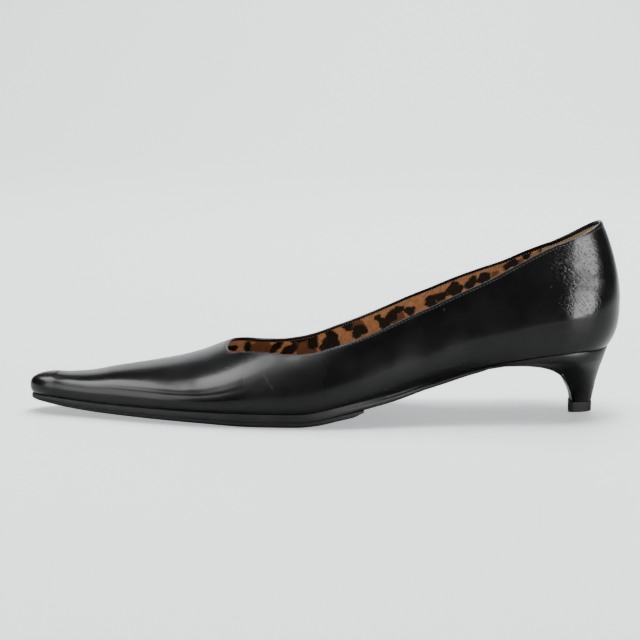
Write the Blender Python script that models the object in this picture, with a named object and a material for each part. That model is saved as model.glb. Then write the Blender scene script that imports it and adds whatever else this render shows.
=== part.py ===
"""A kitten heel pump for the left foot: hollow upper, insole, outsole with breast flap, half sole, heel, top lift.

Metres, +Z up. The toe points to -X, the outer side of the foot faces -Y and the shoe stands on z = 0.
"""

import math
from collections import namedtuple

import bmesh
import bpy
import numpy as np

# Last: the sizes that a last maker would set
SOLE_LENGTH = 0.2627  # feather line from toe tip to heel back, in plan
BALL_WIDTH = 0.076
SEAT_WIDTH = 0.051
SEAT_HEIGHT = 0.0301  # underside of the upper above the floor, at the heel centre
TOE_SPRING = 0.0022
TOE_DEPTH = 0.0097
THROAT_DEPTH = 0.0240
BACK_HEIGHT = 0.0570
BACK_BULGE = 0.0050  # how far the heel curve stands out behind the seat
TOE_ROUNDING = 0.012  # length of the rounded toe tip in plan

# Materials of the shoe
UPPER_WALL = 0.0016
LASTING_MARGIN = 0.0060  # leather turned under the insole
INSOLE_THICKNESS = 0.0020
OUTSOLE_THICKNESS = 0.0037
HALF_SOLE_THICKNESS = 0.0018
FLAP_THICKNESS = 0.0010  # outsole leather where it runs down the heel breast
SOLE_EDGE_ROUNDING = 0.0004
WAIST_INSET = 0.0010  # how far the outsole edge sits inside the feather line at the waist
TOE_PROUD = 0.0006  # how far the soles stand out in front of the feather line at the toe tip
HALF_SOLE_INSET = 0.0002
SEAM_GAP = 0.0003

# Heel and top lift
HEEL_SEAT_LENGTH = 0.0526
HEEL_INSET = 0.0005
HEEL_LIP = 0.0004
HEEL_FOOT_WIDTH = 0.0125
FLAP_INSET = 0.0009
LIFT_HEIGHT = 0.0045
LIFT_OVERHANG = 0.0001
LIFT_EDGE = 0.0004
LIFT_CORNER = 0.0018  # how far the front corners of the lift are rounded off

# How finely the curved surfaces are divided
TOE_COLUMNS = 7
VAMP_COLUMNS = 12
QUARTER_COLUMNS = 24
HEEL_COLUMNS = 8
UNDER_ROWS = 3
WALL_ROWS = 10
HEEL_POINTS = 10
INSOLE_ROWS = 48

TOE_PIVOT = TOE_ROUNDING / SOLE_LENGTH
HEEL_PIVOT = 1.0 - 0.5 * SEAT_WIDTH / SOLE_LENGTH
SOLE_STACK = OUTSOLE_THICKNESS + HALF_SOLE_THICKNESS + 2 * SEAM_GAP
HALF_SOLE_END_STATION = 0.5716
THROAT_STATION = 0.3396
THROAT_FOOT_STATION = 0.3137  # where the mesh column that ends at the throat starts on the feather line

# Plan of the feather line: half widths as shares of the local width
Plan = namedtuple("Plan", "station lateral medial")
PLAN = [
    Plan(0.000, 0.092, 0.092),
    Plan(0.0458, 0.134, 0.126),
    Plan(0.0996, 0.199, 0.180),
    Plan(0.1653, 0.282, 0.259),
    Plan(0.2390, 0.373, 0.357),
    Plan(0.2987, 0.433, 0.429),
    Plan(0.3585, 0.477, 0.467),
    Plan(0.4083, 0.499, 0.471),
    Plan(0.4581, 0.508, 0.454),
    Plan(0.5079, 0.506, 0.419),
    Plan(0.5577, 0.489, 0.378),
    Plan(0.6174, 0.450, 0.328),
    Plan(0.6772, 0.420, 0.305),
    Plan(0.7369, 0.425, 0.328),
    Plan(0.7967, 0.465, 0.400),
    Plan(0.8564, 0.495, 0.475),
    Plan(0.903, 0.500, 0.500),
    Plan(1.000, 0.500, 0.500),
]

# Height of the feather line over the ball: shares of the toe spring and of the seat's lift
Lift = namedtuple("Lift", "station toe seat")
LIFT = [
    Lift(0.000, 1.00, 0.000),
    Lift(0.0289, 0.98, 0.000),
    Lift(0.0627, 0.66, 0.000),
    Lift(0.1275, 0.25, 0.000),
    Lift(0.2031, 0.10, 0.000),
    Lift(0.2987, 0.02, 0.000),
    Lift(0.3884, 0.00, 0.000),
    Lift(0.4640, 0.00, 0.000),
    Lift(0.4879, 0.00, 0.022),
    Lift(0.5278, 0.00, 0.112),
    Lift(0.5587, 0.00, 0.176),
    Lift(0.6134, 0.00, 0.290),
    Lift(0.6841, 0.00, 0.492),
    Lift(0.7638, 0.00, 0.750),
    Lift(0.8016, 0.00, 0.844),
    Lift(0.8325, 0.00, 0.902),
    Lift(0.903, 0.00, 1.010),
    Lift(0.945, 0.00, 1.048),
    Lift(1.000, 0.00, 1.045),
]

# Side wall: bulge as shares of BACK_BULGE, height of the widest place as a share of the crown, and the
# roundness of the arch above it (2 is an ellipse, more is squarer)
Wall = namedtuple("Wall", "station lateral medial widest arch")
WALL = [
    Wall(0.000, 0.25, 0.25, 0.37, 2.70),
    Wall(0.0458, 0.27, 0.27, 0.36, 2.60),
    Wall(0.1494, 0.31, 0.31, 0.31, 2.30),
    Wall(0.2987, 0.37, 0.37, 0.26, 2.05),
    Wall(0.4581, 0.44, 0.42, 0.21, 1.95),
    Wall(0.5577, 0.62, 0.72, 0.23, 1.85),
    Wall(0.6174, 0.92, 0.98, 0.24, 1.80),
    Wall(0.6772, 1.12, 1.20, 0.25, 1.75),
    Wall(0.7369, 1.02, 1.10, 0.25, 1.66),
    Wall(0.7967, 0.70, 0.78, 0.23, 1.54),
    Wall(0.903, 0.46, 0.46, 0.215, 1.40),
]
BACK_WIDEST, BACK_ARCH, BACK_CROWN = 0.275, 1.60, 1.40
UNDERCUT_POWER = 2.3
BACK_UNDERCUT_POWER = 3.4

# Crown of the last over the feather line: shares of toe depth, throat depth and back height. It is the
# ridge of the vamp, and behind the throat it is the cone that the quarters lean towards
Crown = namedtuple("Crown", "station toe throat back")
CROWN = [
    Crown(0.000, 1.00, 0.000, 0.000),
    Crown(0.0458, 1.00, 0.000, 0.000),
    Crown(0.0896, 1.00, 0.036, 0.000),
    Crown(0.1464, 0.85, 0.212, 0.000),
    Crown(0.2181, 0.55, 0.440, 0.000),
    Crown(0.2569, 0.36, 0.580, 0.000),
    Crown(0.2928, 0.20, 0.734, 0.000),
    Crown(0.3396, 0.00, 1.000, 0.000),
    Crown(0.3784, 0.00, 0.950, 0.081),
    Crown(0.4083, 0.00, 0.850, 0.167),
    Crown(0.4581, 0.00, 0.700, 0.295),
    Crown(0.5079, 0.00, 0.550, 0.416),
    Crown(0.5577, 0.00, 0.400, 0.533),
    Crown(0.6174, 0.00, 0.250, 0.677),
    Crown(0.6971, 0.00, 0.100, 0.839),
    Crown(0.7967, 0.00, 0.000, 1.022),
    Crown(0.8574, 0.00, 0.000, 1.146),
    Crown(0.903, 0.00, 0.000, 1.228),
]

# Twist of the last: where the crown runs, as a share of BALL_WIDTH, and how the arch climbs to the inner side
Twist = namedtuple("Twist", "station axis climb")
TWIST = [
    Twist(0.000, 0.000, 0.00),
    Twist(0.1494, 0.000, 0.02),
    Twist(0.2091, 0.000, 0.045),
    Twist(0.2689, -0.004, 0.080),
    Twist(0.3286, -0.008, 0.115),
    Twist(0.3685, -0.010, 0.080),
    Twist(0.4083, -0.012, 0.030),
    Twist(0.4481, -0.016, 0.000),
    Twist(0.5178, -0.024, -0.01),
    Twist(0.5975, -0.034, 0.00),
    Twist(0.6971, -0.036, 0.00),
    Twist(0.7967, -0.018, 0.00),
    Twist(0.903, 0.000, 0.00),
]

# Topline from the throat to the heel: station, and its height on each side as a share of the crown
Topline = namedtuple("Topline", "reach station lateral medial")
TOPLINE = [
    Topline(0.00, 0.3396, 1.000, 1.000),
    Topline(0.05, 0.3426, 0.998, 0.984),
    Topline(0.10, 0.3505, 0.985, 0.944),
    Topline(0.16, 0.3665, 0.965, 0.865),
    Topline(0.24, 0.3983, 0.895, 0.762),
    Topline(0.34, 0.4481, 0.772, 0.700),
    Topline(0.44, 0.5079, 0.704, 0.704),
    Topline(0.54, 0.5726, 0.684, 0.719),
    Topline(0.64, 0.6423, 0.690, 0.735),
    Topline(0.74, 0.7120, 0.677, 0.712),
    Topline(0.84, 0.7817, 0.662, 0.675),
    Topline(0.92, 0.8415, 0.674, 0.645),
    Topline(1.00, 0.9030, 0.690, 0.645),
]
BACK_TOP_SHARE = 0.7085

# Sole edge: thickness shares of outsole and half sole, and inset as a share of WAIST_INSET
Edge = namedtuple("Edge", "station outsole half_sole inset")
EDGE = [
    Edge(0.000, 0.36, 0.36, -0.30),
    Edge(0.0627, 0.62, 0.58, -0.15),
    Edge(0.1275, 0.72, 0.70, 0.00),
    Edge(0.2987, 0.86, 0.88, 0.00),
    Edge(0.3884, 1.00, 1.00, 0.00),
    Edge(0.4640, 1.00, 1.00, 0.00),
    Edge(0.5268, 1.04, 1.00, 0.20),
    Edge(0.5537, 1.06, 0.95, 0.35),
    Edge(0.5716, 1.04, 0.40, 0.45),
    Edge(0.6353, 0.99, 0.40, 0.80),
    Edge(0.6841, 0.84, 0.40, 1.00),
    Edge(0.7240, 0.82, 0.40, 1.00),
    Edge(0.7638, 0.73, 0.40, 0.90),
    Edge(0.7967, 0.46, 0.40, 0.80),
]

# Heel, from the seat to the foot. Reaches are shares of HEEL_SEAT_LENGTH forward of the seat's back,
# levels are shares of the height between heel foot and seat, width is a share of the seat's width
Ring = namedtuple("Ring", "front_reach front_level back_reach back_level width")
HEEL_RINGS = [
    Ring(0.924, 0.988, 0.015, 0.899, 0.985),
    Ring(0.791, 0.985, 0.027, 0.818, 0.930),
    Ring(0.656, 0.945, 0.039, 0.729, 0.820),
    Ring(0.531, 0.862, 0.056, 0.623, 0.690),
    Ring(0.432, 0.730, 0.069, 0.514, 0.570),
    Ring(0.359, 0.548, 0.084, 0.385, 0.450),
    Ring(0.312, 0.341, 0.095, 0.251, 0.350),
    Ring(0.283, 0.161, 0.107, 0.113, 0.275),
    Ring(0.271, 0.000, 0.116, 0.000, 0.235),
]
FOOT_ROUNDING = 2.4

LATERAL, MEDIAL = -1.0, 1.0


class Curve:
    """A smooth curve through the rows of a table, which never overshoots between two rows.

    parts holds the names of the columns that it sums, each with the size that the column is a share of.
    """

    def __init__(self, rows, parts, place="station"):
        self.at = np.array([getattr(row, place) for row in rows])
        self.value = np.array([sum(getattr(row, name) * size for name, size in parts.items()) for row in rows])
        step = np.diff(self.at)
        slope = np.diff(self.value) / step
        self.tangent = np.concatenate([slope[:1], np.zeros(len(step) - 1), slope[-1:]])
        for i in range(1, len(step)):
            if slope[i - 1] * slope[i] > 0:
                before, after = step[i - 1] + 2 * step[i], 2 * step[i - 1] + step[i]
                self.tangent[i] = (before + after) / (before / slope[i - 1] + after / slope[i])

    def __call__(self, place):
        place = min(max(place, self.at[0]), self.at[-1])
        i = min(int(np.searchsorted(self.at, place, side="right")) - 1, len(self.at) - 2)
        step = self.at[i + 1] - self.at[i]
        t = (place - self.at[i]) / step
        start, end = (1 + 2 * t) * (1 - t) ** 2, t * t * (3 - 2 * t)
        rise, fall = t * (1 - t) ** 2 * step, t * t * (t - 1) * step
        return float(
            start * self.value[i] + end * self.value[i + 1]
            + rise * self.tangent[i] + fall * self.tangent[i + 1]
        )


plan_share = {LATERAL: Curve(PLAN, {"lateral": 1}), MEDIAL: Curve(PLAN, {"medial": 1})}
feather_lift = Curve(LIFT, {"toe": TOE_SPRING, "seat": SEAT_HEIGHT - SOLE_STACK})
bulge_share = {LATERAL: Curve(WALL, {"lateral": 1}), MEDIAL: Curve(WALL, {"medial": 1})}
widest_share = Curve(WALL, {"widest": 1})
arch_power = Curve(WALL, {"arch": 1})
crown_height = Curve(CROWN, {"toe": TOE_DEPTH, "throat": THROAT_DEPTH, "back": BACK_HEIGHT})
twist_axis = Curve(TWIST, {"axis": BALL_WIDTH})
twist_climb = Curve(TWIST, {"climb": 1})
top_station = Curve(TOPLINE, {"station": 1}, "reach")
top_share = {
    LATERAL: Curve(TOPLINE, {"lateral": 1}, "reach"),
    MEDIAL: Curve(TOPLINE, {"medial": 1}, "reach"),
}
outsole_edge = Curve(EDGE, {"outsole": OUTSOLE_THICKNESS})
half_sole_edge = Curve(EDGE, {"half_sole": HALF_SOLE_THICKNESS})
edge_inset = Curve(EDGE, {"inset": WAIST_INSET})


def ease(t):
    """0 to 1 with level ends."""
    t = min(max(t, 0.0), 1.0)
    return t * t * (3 - 2 * t)


def local_width(station):
    """The width that the plan's shares follow: the ball's in front, the seat's behind."""
    share = ease((station - 0.46) / (HEEL_PIVOT - 0.46))
    return BALL_WIDTH + (SEAT_WIDTH - BALL_WIDTH) * share


def end_cap(station):
    """How the plan closes round the toe tip and round the heel: 1 along the sides, 0 at the ends."""
    if station < TOE_PIVOT:
        return math.sqrt(max(0.0, 1 - (1 - station / TOE_PIVOT) ** 2))
    if station > HEEL_PIVOT:
        return math.sqrt(max(0.0, 1 - ((station - HEEL_PIVOT) / (1 - HEEL_PIVOT)) ** 2))
    return 1.0


def half_width(station, side):
    """Half width of the feather line."""
    return plan_share[side](station) * local_width(station) * end_cap(station)


def feather_height(station):
    """Height of the feather line, and so of the upper's underside, above the floor."""
    return SOLE_STACK + feather_lift(station)


def stations_of(count, start, end):
    """Evenly spaced stations, without the first."""
    return [start + (end - start) * i / count for i in range(1, count + 1)]


def last_point(side, foot, station, top, level):
    """A point on the outside of the last.

    foot is the point where the column starts on the feather line, station the place along the shoe,
    top the height at which the column ends as a share of the crown, and level the place on the column:
    0 to 1 up to the widest place and 1 to 2 above it. In the caps the column turns about the pivot.
    """
    pivot = min(max(station, TOE_PIVOT), HEEL_PIVOT)
    axis = twist_axis(pivot)
    centre = np.array([pivot * SOLE_LENGTH, axis])
    edge = np.array([foot * SOLE_LENGTH, side * half_width(foot, side)])
    outward = edge - centre
    reach = float(np.hypot(*outward))
    outward = outward / reach
    back = outward[0] ** 2 if foot > HEEL_PIVOT else 0.0
    crown = crown_height(pivot) + back * (BACK_CROWN * BACK_HEIGHT - crown_height(1.0))
    widest = crown * (widest_share(pivot) + back * (BACK_WIDEST - widest_share(1.0)))
    arch = arch_power(pivot) + back * (BACK_ARCH - arch_power(1.0))
    bulge = BACK_BULGE * (bulge_share[side](foot) + back * (1 - bulge_share[side](1.0)))
    if level <= 1:
        height = widest * level
        power = UNDERCUT_POWER + back * (BACK_UNDERCUT_POWER - UNDERCUT_POWER)
        across = reach + bulge * (1 - (1 - level) ** power)
    else:
        rise = (top * crown - widest) / (crown - widest)
        angle = (level - 1) * math.asin(min(max(rise, 0.0), 1.0) ** (arch / 2))
        height = widest + (crown - widest) * math.sin(angle) ** (2 / arch)
        across = (reach + bulge) * math.cos(angle) ** (2 / arch)
    x, y = centre + outward * across
    climb = twist_climb(pivot) * (y - axis) * height / crown
    return np.array([x, y, feather_height(foot) + height + climb])


def wall_column(side, foot, end, top):
    """One column of the upper's outside, from the lasting margin over the feather line to the top."""
    levels = [i / UNDER_ROWS for i in range(UNDER_ROWS + 1)]
    levels += [1 + i / WALL_ROWS for i in range(1, WALL_ROWS + 1)]
    column = []
    for level in levels:
        share = ease(level / 2)
        station = foot + (end - foot) * share
        start = station if TOE_PIVOT < foot < HEEL_PIVOT else foot
        column.append(last_point(side, start, station, top, level))
    inward = np.array([min(max(foot, TOE_PIVOT), HEEL_PIVOT) * SOLE_LENGTH, 0.0]) - column[0][:2]
    inward = inward / np.hypot(*inward)
    turned = column[0] + np.append(inward * LASTING_MARGIN, 0.0)
    turned[2] = feather_height(turned[0] / SOLE_LENGTH)
    return [turned] + column


def side_columns(side):
    """The columns of one side, from the toe tip to the heel back."""
    columns = []
    for i in range(TOE_COLUMNS):
        foot = TOE_PIVOT * (1 - math.cos(math.pi / 2 * i / TOE_COLUMNS))
        columns.append(wall_column(side, foot, TOE_PIVOT, 1.0))
    columns.append(wall_column(side, TOE_PIVOT, TOE_PIVOT, 1.0))
    ends = stations_of(VAMP_COLUMNS, TOE_PIVOT, THROAT_STATION)
    for foot, end in zip(stations_of(VAMP_COLUMNS, TOE_PIVOT, THROAT_FOOT_STATION), ends):
        columns.append(wall_column(side, foot, end, 1.0))
    feet = stations_of(QUARTER_COLUMNS, THROAT_FOOT_STATION, HEEL_PIVOT)
    for foot, reach in zip(feet, stations_of(QUARTER_COLUMNS, 0.0, 1.0)):
        columns.append(wall_column(side, foot, top_station(reach), top_share[side](reach)))
    for i in range(1, HEEL_COLUMNS + 1):
        turn = math.pi / 2 * i / HEEL_COLUMNS
        foot = HEEL_PIVOT + (1 - HEEL_PIVOT) * math.sin(turn)
        top = top_share[side](1.0) + (BACK_TOP_SHARE - top_share[side](1.0)) * math.sin(turn) ** 1.2
        columns.append(wall_column(side, foot, foot, top))
    return columns


def material(name, colour, roughness):
    """A plain Principled material."""
    made = bpy.data.materials.new(name)
    made.use_nodes = True
    shader = made.node_tree.nodes["Principled BSDF"]
    shader.inputs["Base Color"].default_value = (*colour, 1.0)
    shader.inputs["Roughness"].default_value = roughness
    shader.inputs["Metallic"].default_value = 0.0
    return made


def finished(name, shape, finish):
    """The bmesh as a named, smooth shaded object with its material."""
    bmesh.ops.remove_doubles(shape, verts=shape.verts, dist=1e-6)
    bmesh.ops.recalc_face_normals(shape, faces=shape.faces)
    mesh = bpy.data.meshes.new(name)
    shape.to_mesh(mesh)
    shape.free()
    mesh.materials.append(finish)
    mesh.shade_smooth()
    mesh.set_sharp_from_angle(angle=math.radians(40))
    made = bpy.data.objects.new(name, mesh)
    bpy.context.scene.collection.objects.link(made)
    return made


def build_upper(finish):
    """The hollow upper: one skin over the last, open at the topline and underneath, with a real wall."""
    lateral, medial = side_columns(LATERAL), side_columns(MEDIAL)
    columns = lateral[::-1] + medial[1:-1]
    shape = bmesh.new()
    grid = [[shape.verts.new(point) for point in column] for column in columns]
    for here, there in zip(grid, grid[1:] + grid[:1]):
        for low, high in zip(range(len(here) - 1), range(1, len(here))):
            shape.faces.new((here[low], there[low], there[high], here[high]))
    upper = finished("upper", shape, finish)
    wall = upper.modifiers.new("wall", "SOLIDIFY")
    wall.thickness = UPPER_WALL
    wall.offset = -1.0
    wall.use_even_offset = True
    return upper


def offset_path(path, distance):
    """The path moved down, square to its own run, by a distance or by one distance for each point."""
    points = np.array(path)
    run = np.gradient(points, axis=0)
    run = run / np.linalg.norm(run, axis=1)[:, None]
    down = np.stack([run[:, 1], -run[:, 0]], axis=1)
    return points + down * np.broadcast_to(distance, (len(points),))[:, None]


def slab(name, top, bottom, widths, rounding, finish):
    """A sheet swept along the shoe between two paths, with both lower edges rounded off.

    widths holds the lateral and the medial half width at each point of the path.
    """
    shape = bmesh.new()
    rings = []
    for (x_top, z_top), (x_low, z_low), (lateral, medial) in zip(top, bottom, widths):
        high, low = np.array([x_top, 0.0, z_top]), np.array([x_low, 0.0, z_low])
        shoulder = low + (high - low) * min(0.5, rounding / np.linalg.norm(high - low))
        tuck = min(rounding, 0.5 * lateral, 0.5 * medial)
        outline = [
            (high, -lateral), (shoulder, -lateral), (low, tuck - lateral),
            (low, medial - tuck), (shoulder, medial), (high, medial),
        ]
        rings.append([shape.verts.new(point + np.array([0.0, y, 0.0])) for point, y in outline])
    for here, there in zip(rings, rings[1:]):
        for i in range(len(here)):
            j = (i + 1) % len(here)
            shape.faces.new((here[i], here[j], there[j], there[i]))
    shape.faces.new(rings[0][::-1])
    shape.faces.new(rings[-1])
    return finished(name, shape, finish)


def sole_stations(end):
    """Stations along the sole, close together round the toe tip."""
    start = math.radians(12)
    turns = [start + (math.pi / 2 - start) * i / TOE_COLUMNS for i in range(TOE_COLUMNS + 1)]
    tip = [TOE_PIVOT * (1 - math.cos(turn)) for turn in turns]
    return tip + stations_of(round(46 * end), TOE_PIVOT, end)


def sole_path(stations):
    """The soles' uppermost path along the shoe, as x and z, a seam's gap under the upper."""
    return [
        (s * SOLE_LENGTH - TOE_PROUD * max(0.0, 1 - s / TOE_PIVOT), seat_under(s * SOLE_LENGTH))
        for s in stations
    ]


def edge_widths(stations, inset):
    """Half widths of a sole layer, inset from the feather line by its own amount at each station."""
    return [tuple(half_width(s, side) - inset(s) * end_cap(s) for side in (LATERAL, MEDIAL)) for s in stations]


seat_back = SOLE_LENGTH - HEEL_INSET
lip_x = seat_back - HEEL_SEAT_LENGTH
foot_level = LIFT_HEIGHT + SEAM_GAP


def seat_under(x):
    """The plane that heel and outsole rest against, a seam's gap under the upper."""
    return feather_height(x / SOLE_LENGTH) - SEAM_GAP


def ring_ends(ring):
    """Front and back point of a heel ring, as x and z."""
    front = (
        seat_back - ring.front_reach * HEEL_SEAT_LENGTH,
        foot_level + ring.front_level * (seat_under(lip_x) - foot_level),
    )
    back = (
        seat_back - ring.back_reach * HEEL_SEAT_LENGTH,
        foot_level + ring.back_level * (seat_under(seat_back) - foot_level),
    )
    return front, back


def breast_width(ring, side):
    """Half width of the heel at the front of a ring, where flap and heel meet."""
    blend = (HEEL_RINGS.index(ring) + 1) / len(HEEL_RINGS)
    seat = half_width(lip_x / SOLE_LENGTH, side) - HEEL_INSET
    return ring.width * seat * (1 - blend) + blend * heel_foot_half(ring)


def heel_foot_half(ring):
    """Half width of the rounded shape that the heel turns into towards its foot."""
    return 0.5 * HEEL_FOOT_WIDTH * ring.width / HEEL_RINGS[-1].width


def build_heel(finish):
    """The heel: the seat's plan at the top, turning into a small rounded foot, with a hollow curved breast."""
    turns = [math.pi / 2 * i / HEEL_POINTS for i in range(HEEL_POINTS + 1)]
    shares = [math.sin(turn) for turn in turns]

    def seat_half(share, side):
        x = lip_x + share * HEEL_SEAT_LENGTH
        station = min(x / SOLE_LENGTH, 1.0)
        return max(half_width(station, side) - HEEL_INSET, 0.0) * (1.0 if share < 1 else 0.0)

    def ring_points(side, place):
        return [place(share, side) for share in shares]

    def top_place(drop):
        def place(share, side):
            x = lip_x + share * HEEL_SEAT_LENGTH
            return (x, side * seat_half(share, side), seat_under(x) - drop * (1 - share))
        return place

    def ring_place(number, ring):
        front, back = ring_ends(ring)
        blend = (number + 1) / len(HEEL_RINGS)

        def place(share, side):
            x = front[0] + share * (back[0] - front[0])
            z = front[1] + share * (back[1] - front[1])
            foot = heel_foot_half(ring) * (1 - share ** FOOT_ROUNDING) ** (1 / FOOT_ROUNDING)
            half = ring.width * seat_half(share, side) * (1 - blend) + blend * foot
            return (x, side * half, z)
        return place

    places = [top_place(0.0), top_place(HEEL_LIP)]
    places += [ring_place(number, ring) for number, ring in enumerate(HEEL_RINGS)]
    loops = [ring_points(LATERAL, place) + ring_points(MEDIAL, place)[-2::-1] for place in places]
    return lofted("heel", loops, finish)


def lofted(name, loops, finish):
    """A solid through loops that run from the front corner of one side round the back to the other."""
    shape = bmesh.new()
    rings = [[shape.verts.new(point) for point in loop] for loop in loops]
    for here, there in zip(rings, rings[1:]):
        for i in range(len(here)):
            j = (i + 1) % len(here)
            shape.faces.new((here[i], here[j], there[j], there[i]))
    for ring in (rings[0], rings[-1]):
        middle = len(ring) // 2
        for i in range(middle - 1):
            shape.faces.new((ring[i], ring[i + 1], ring[-2 - i], ring[-1 - i]))
        shape.faces.new((ring[middle - 1], ring[middle], ring[middle + 1]))
    return finished(name, shape, finish)


def build_outsole(finish):
    """The leather outsole from the toe along the waist, then down the heel's breast as a thin flap."""
    stations = [s for s in sole_stations(lip_x / SOLE_LENGTH) if s * SOLE_LENGTH < lip_x - 0.002]
    top = sole_path(stations)
    thickness = [outsole_edge(s) for s in stations]
    widths = edge_widths(stations, edge_inset)
    lip = (lip_x, seat_under(lip_x) - HEEL_LIP)
    breast = offset_path([lip] + [ring_ends(ring)[0] for ring in HEEL_RINGS], SEAM_GAP)
    top += [tuple(point) for point in breast[1:]]
    thickness += [FLAP_THICKNESS] * len(HEEL_RINGS)
    widths += [
        tuple(breast_width(ring, side) - FLAP_INSET for side in (LATERAL, MEDIAL)) for ring in HEEL_RINGS
    ]
    bottom = offset_path(top, np.array(thickness))
    end = foot_level
    top[-1], bottom[-1] = (top[-1][0], end), (top[-1][0] - FLAP_THICKNESS, end)
    return slab("outsole", top, bottom, widths, SOLE_EDGE_ROUNDING, finish)


def build_half_sole(finish):
    """The thin rubber half sole under the forepart, skived away behind the ball."""
    stations = sole_stations(HALF_SOLE_END_STATION)
    thickness = np.array([outsole_edge(s) for s in stations])
    top = offset_path(offset_path(sole_path(stations), thickness), SEAM_GAP)
    bottom = offset_path(top, np.array([half_sole_edge(s) for s in stations]))
    widths = edge_widths(stations, lambda s: edge_inset(s) + HALF_SOLE_INSET)
    return slab("half_sole", top, bottom, widths, SOLE_EDGE_ROUNDING, finish)


def build_insole(finish):
    """The insole with its sock, lying on the lasting margin inside the upper."""
    inset = UPPER_WALL + 2 * SEAM_GAP
    length = SOLE_LENGTH - 2.5 * inset
    stations = [(1 - math.cos(math.pi * i / INSOLE_ROWS)) / 2 for i in range(1, INSOLE_ROWS)]
    places = [1.3 * inset + s * length for s in stations]
    low = [(x, feather_height(x / SOLE_LENGTH) + UPPER_WALL + SEAM_GAP) for x in places]
    high = [(x, z + INSOLE_THICKNESS) for x, z in low]
    widths = edge_widths(stations, lambda s: inset)
    return slab("insole", high, low, widths, 0.5 * SOLE_EDGE_ROUNDING, finish)


def build_top_lift(finish):
    """The rubber top lift under the heel's foot, flat on the floor."""
    (front, _), (back, _) = ring_ends(HEEL_RINGS[-1])
    front -= SEAM_GAP + FLAP_THICKNESS + LIFT_OVERHANG
    back += LIFT_OVERHANG
    half = 0.5 * HEEL_FOOT_WIDTH + LIFT_OVERHANG
    turns = [math.pi / 2 * i / HEEL_POINTS for i in range(HEEL_POINTS + 1)]

    def loop(level, inset, lean):
        sides = {LATERAL: [], MEDIAL: []}
        for side, points in sides.items():
            for turn in turns:
                share = math.sin(turn)
                x = front + inset + share * (back - lean - front - 2 * inset)
                y = (half - inset) * max(0.0, 1 - share ** FOOT_ROUNDING) ** (1 / FOOT_ROUNDING)
                corner = LIFT_CORNER if share == 0 else 0.0
                points.append((x, side * (y - corner), level))
        return sides[LATERAL] + sides[MEDIAL][-2::-1]

    lean = 0.5 * LIFT_OVERHANG
    loops = [loop(LIFT_HEIGHT, 0.0, 0.0), loop(LIFT_EDGE, 0.0, lean), loop(0.0, LIFT_EDGE, lean)]
    return lofted("top_lift", loops, finish)


def place_on_floor(pieces):
    """Moves the shoe so that the middle of its plan is the origin and its soles stand on z = 0."""
    frame = bpy.data.objects.new("shoe", None)
    bpy.context.scene.collection.objects.link(frame)
    graph = bpy.context.evaluated_depsgraph_get()
    corners = np.array([corner for piece in pieces for corner in piece.evaluated_get(graph).bound_box])
    middle = (corners.min(axis=0) + corners.max(axis=0)) / 2
    for piece in pieces:
        piece.parent = frame
    frame.location = (-middle[0], -middle[1], 0.0)


def main():
    for leftover in list(bpy.data.objects):
        bpy.data.objects.remove(leftover)
    leather = material("black_calf", (0.012, 0.012, 0.013), 0.30)
    heel_cover = material("heel_leather", (0.014, 0.014, 0.015), 0.32)
    sole_leather = material("sole_leather", (0.020, 0.020, 0.021), 0.45)
    rubber = material("sole_rubber", (0.022, 0.022, 0.022), 0.60)
    lift_rubber = material("lift_rubber", (0.030, 0.030, 0.030), 0.55)
    sock = material("sock_leather", (0.45, 0.31, 0.17), 0.55)
    place_on_floor([
        build_upper(leather),
        build_insole(sock),
        build_outsole(sole_leather),
        build_half_sole(rubber),
        build_heel(heel_cover),
        build_top_lift(lift_rubber),
    ])


main()
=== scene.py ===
"""The looks of a black kitten heel pump with a spotted calf hair lining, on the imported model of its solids.

Metres, +Z up. The toe points to -X, the outer side of the foot faces -Y and the shoe stands on z = 0.
"""

import logging
import math
import random
from dataclasses import dataclass
from enum import Enum
from typing import Callable, NamedTuple, Sequence

import bmesh
import bpy
import numpy as np
from mathutils import Matrix, Vector
from mathutils.kdtree import KDTree


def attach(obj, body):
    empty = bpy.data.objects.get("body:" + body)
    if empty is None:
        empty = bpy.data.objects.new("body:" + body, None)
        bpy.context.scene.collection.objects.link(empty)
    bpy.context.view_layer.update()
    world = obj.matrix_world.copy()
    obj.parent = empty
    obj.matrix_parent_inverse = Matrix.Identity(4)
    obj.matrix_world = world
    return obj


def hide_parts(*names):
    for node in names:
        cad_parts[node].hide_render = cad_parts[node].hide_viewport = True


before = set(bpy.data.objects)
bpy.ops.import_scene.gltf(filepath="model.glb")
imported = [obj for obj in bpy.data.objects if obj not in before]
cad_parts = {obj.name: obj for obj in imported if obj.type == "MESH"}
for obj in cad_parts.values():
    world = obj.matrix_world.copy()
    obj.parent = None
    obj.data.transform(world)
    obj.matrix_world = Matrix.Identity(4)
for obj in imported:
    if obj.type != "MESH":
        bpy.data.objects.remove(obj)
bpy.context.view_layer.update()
log = logging.getLogger("pump")

MM = 0.001
LATERAL, MEDIAL = -1.0, 1.0
TAPER_START = 0.46  # station from which the plan narrows from the ball to the seat
BACK_CROWN = 1.40  # crown, widest place and arch of the heel's middle line
BACK_WIDEST = 0.275
BACK_ARCH = 1.60
UNDERCUT_POWER = 2.3  # how soon the wall bulges over the feather line, and more of it at the back
BACK_UNDERCUT = 1.1
BACK_SWEEP = 1.2  # how late the topline climbs round the heel
SHOE_MIDDLE = 0.03  # height of the middle line that skin and linings face away from
PATCH_REACH = 1.3  # how far a patch's mark fades out, as a share of its size
Colour = tuple[float, float, float]


class PlanRow(NamedTuple):
    """Half widths of the feather line, as shares of the local width."""

    station: float
    lateral: float
    medial: float


class LiftRow(NamedTuple):
    """Height of the feather line over the ball, as shares of the toe spring and of the seat's lift."""

    station: float
    toe: float
    seat: float


class WallRow(NamedTuple):
    """Side wall: bulge on each side, height of the widest place, and roundness of the arch above it."""

    station: float
    lateral: float
    medial: float
    widest: float
    arch: float


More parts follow.
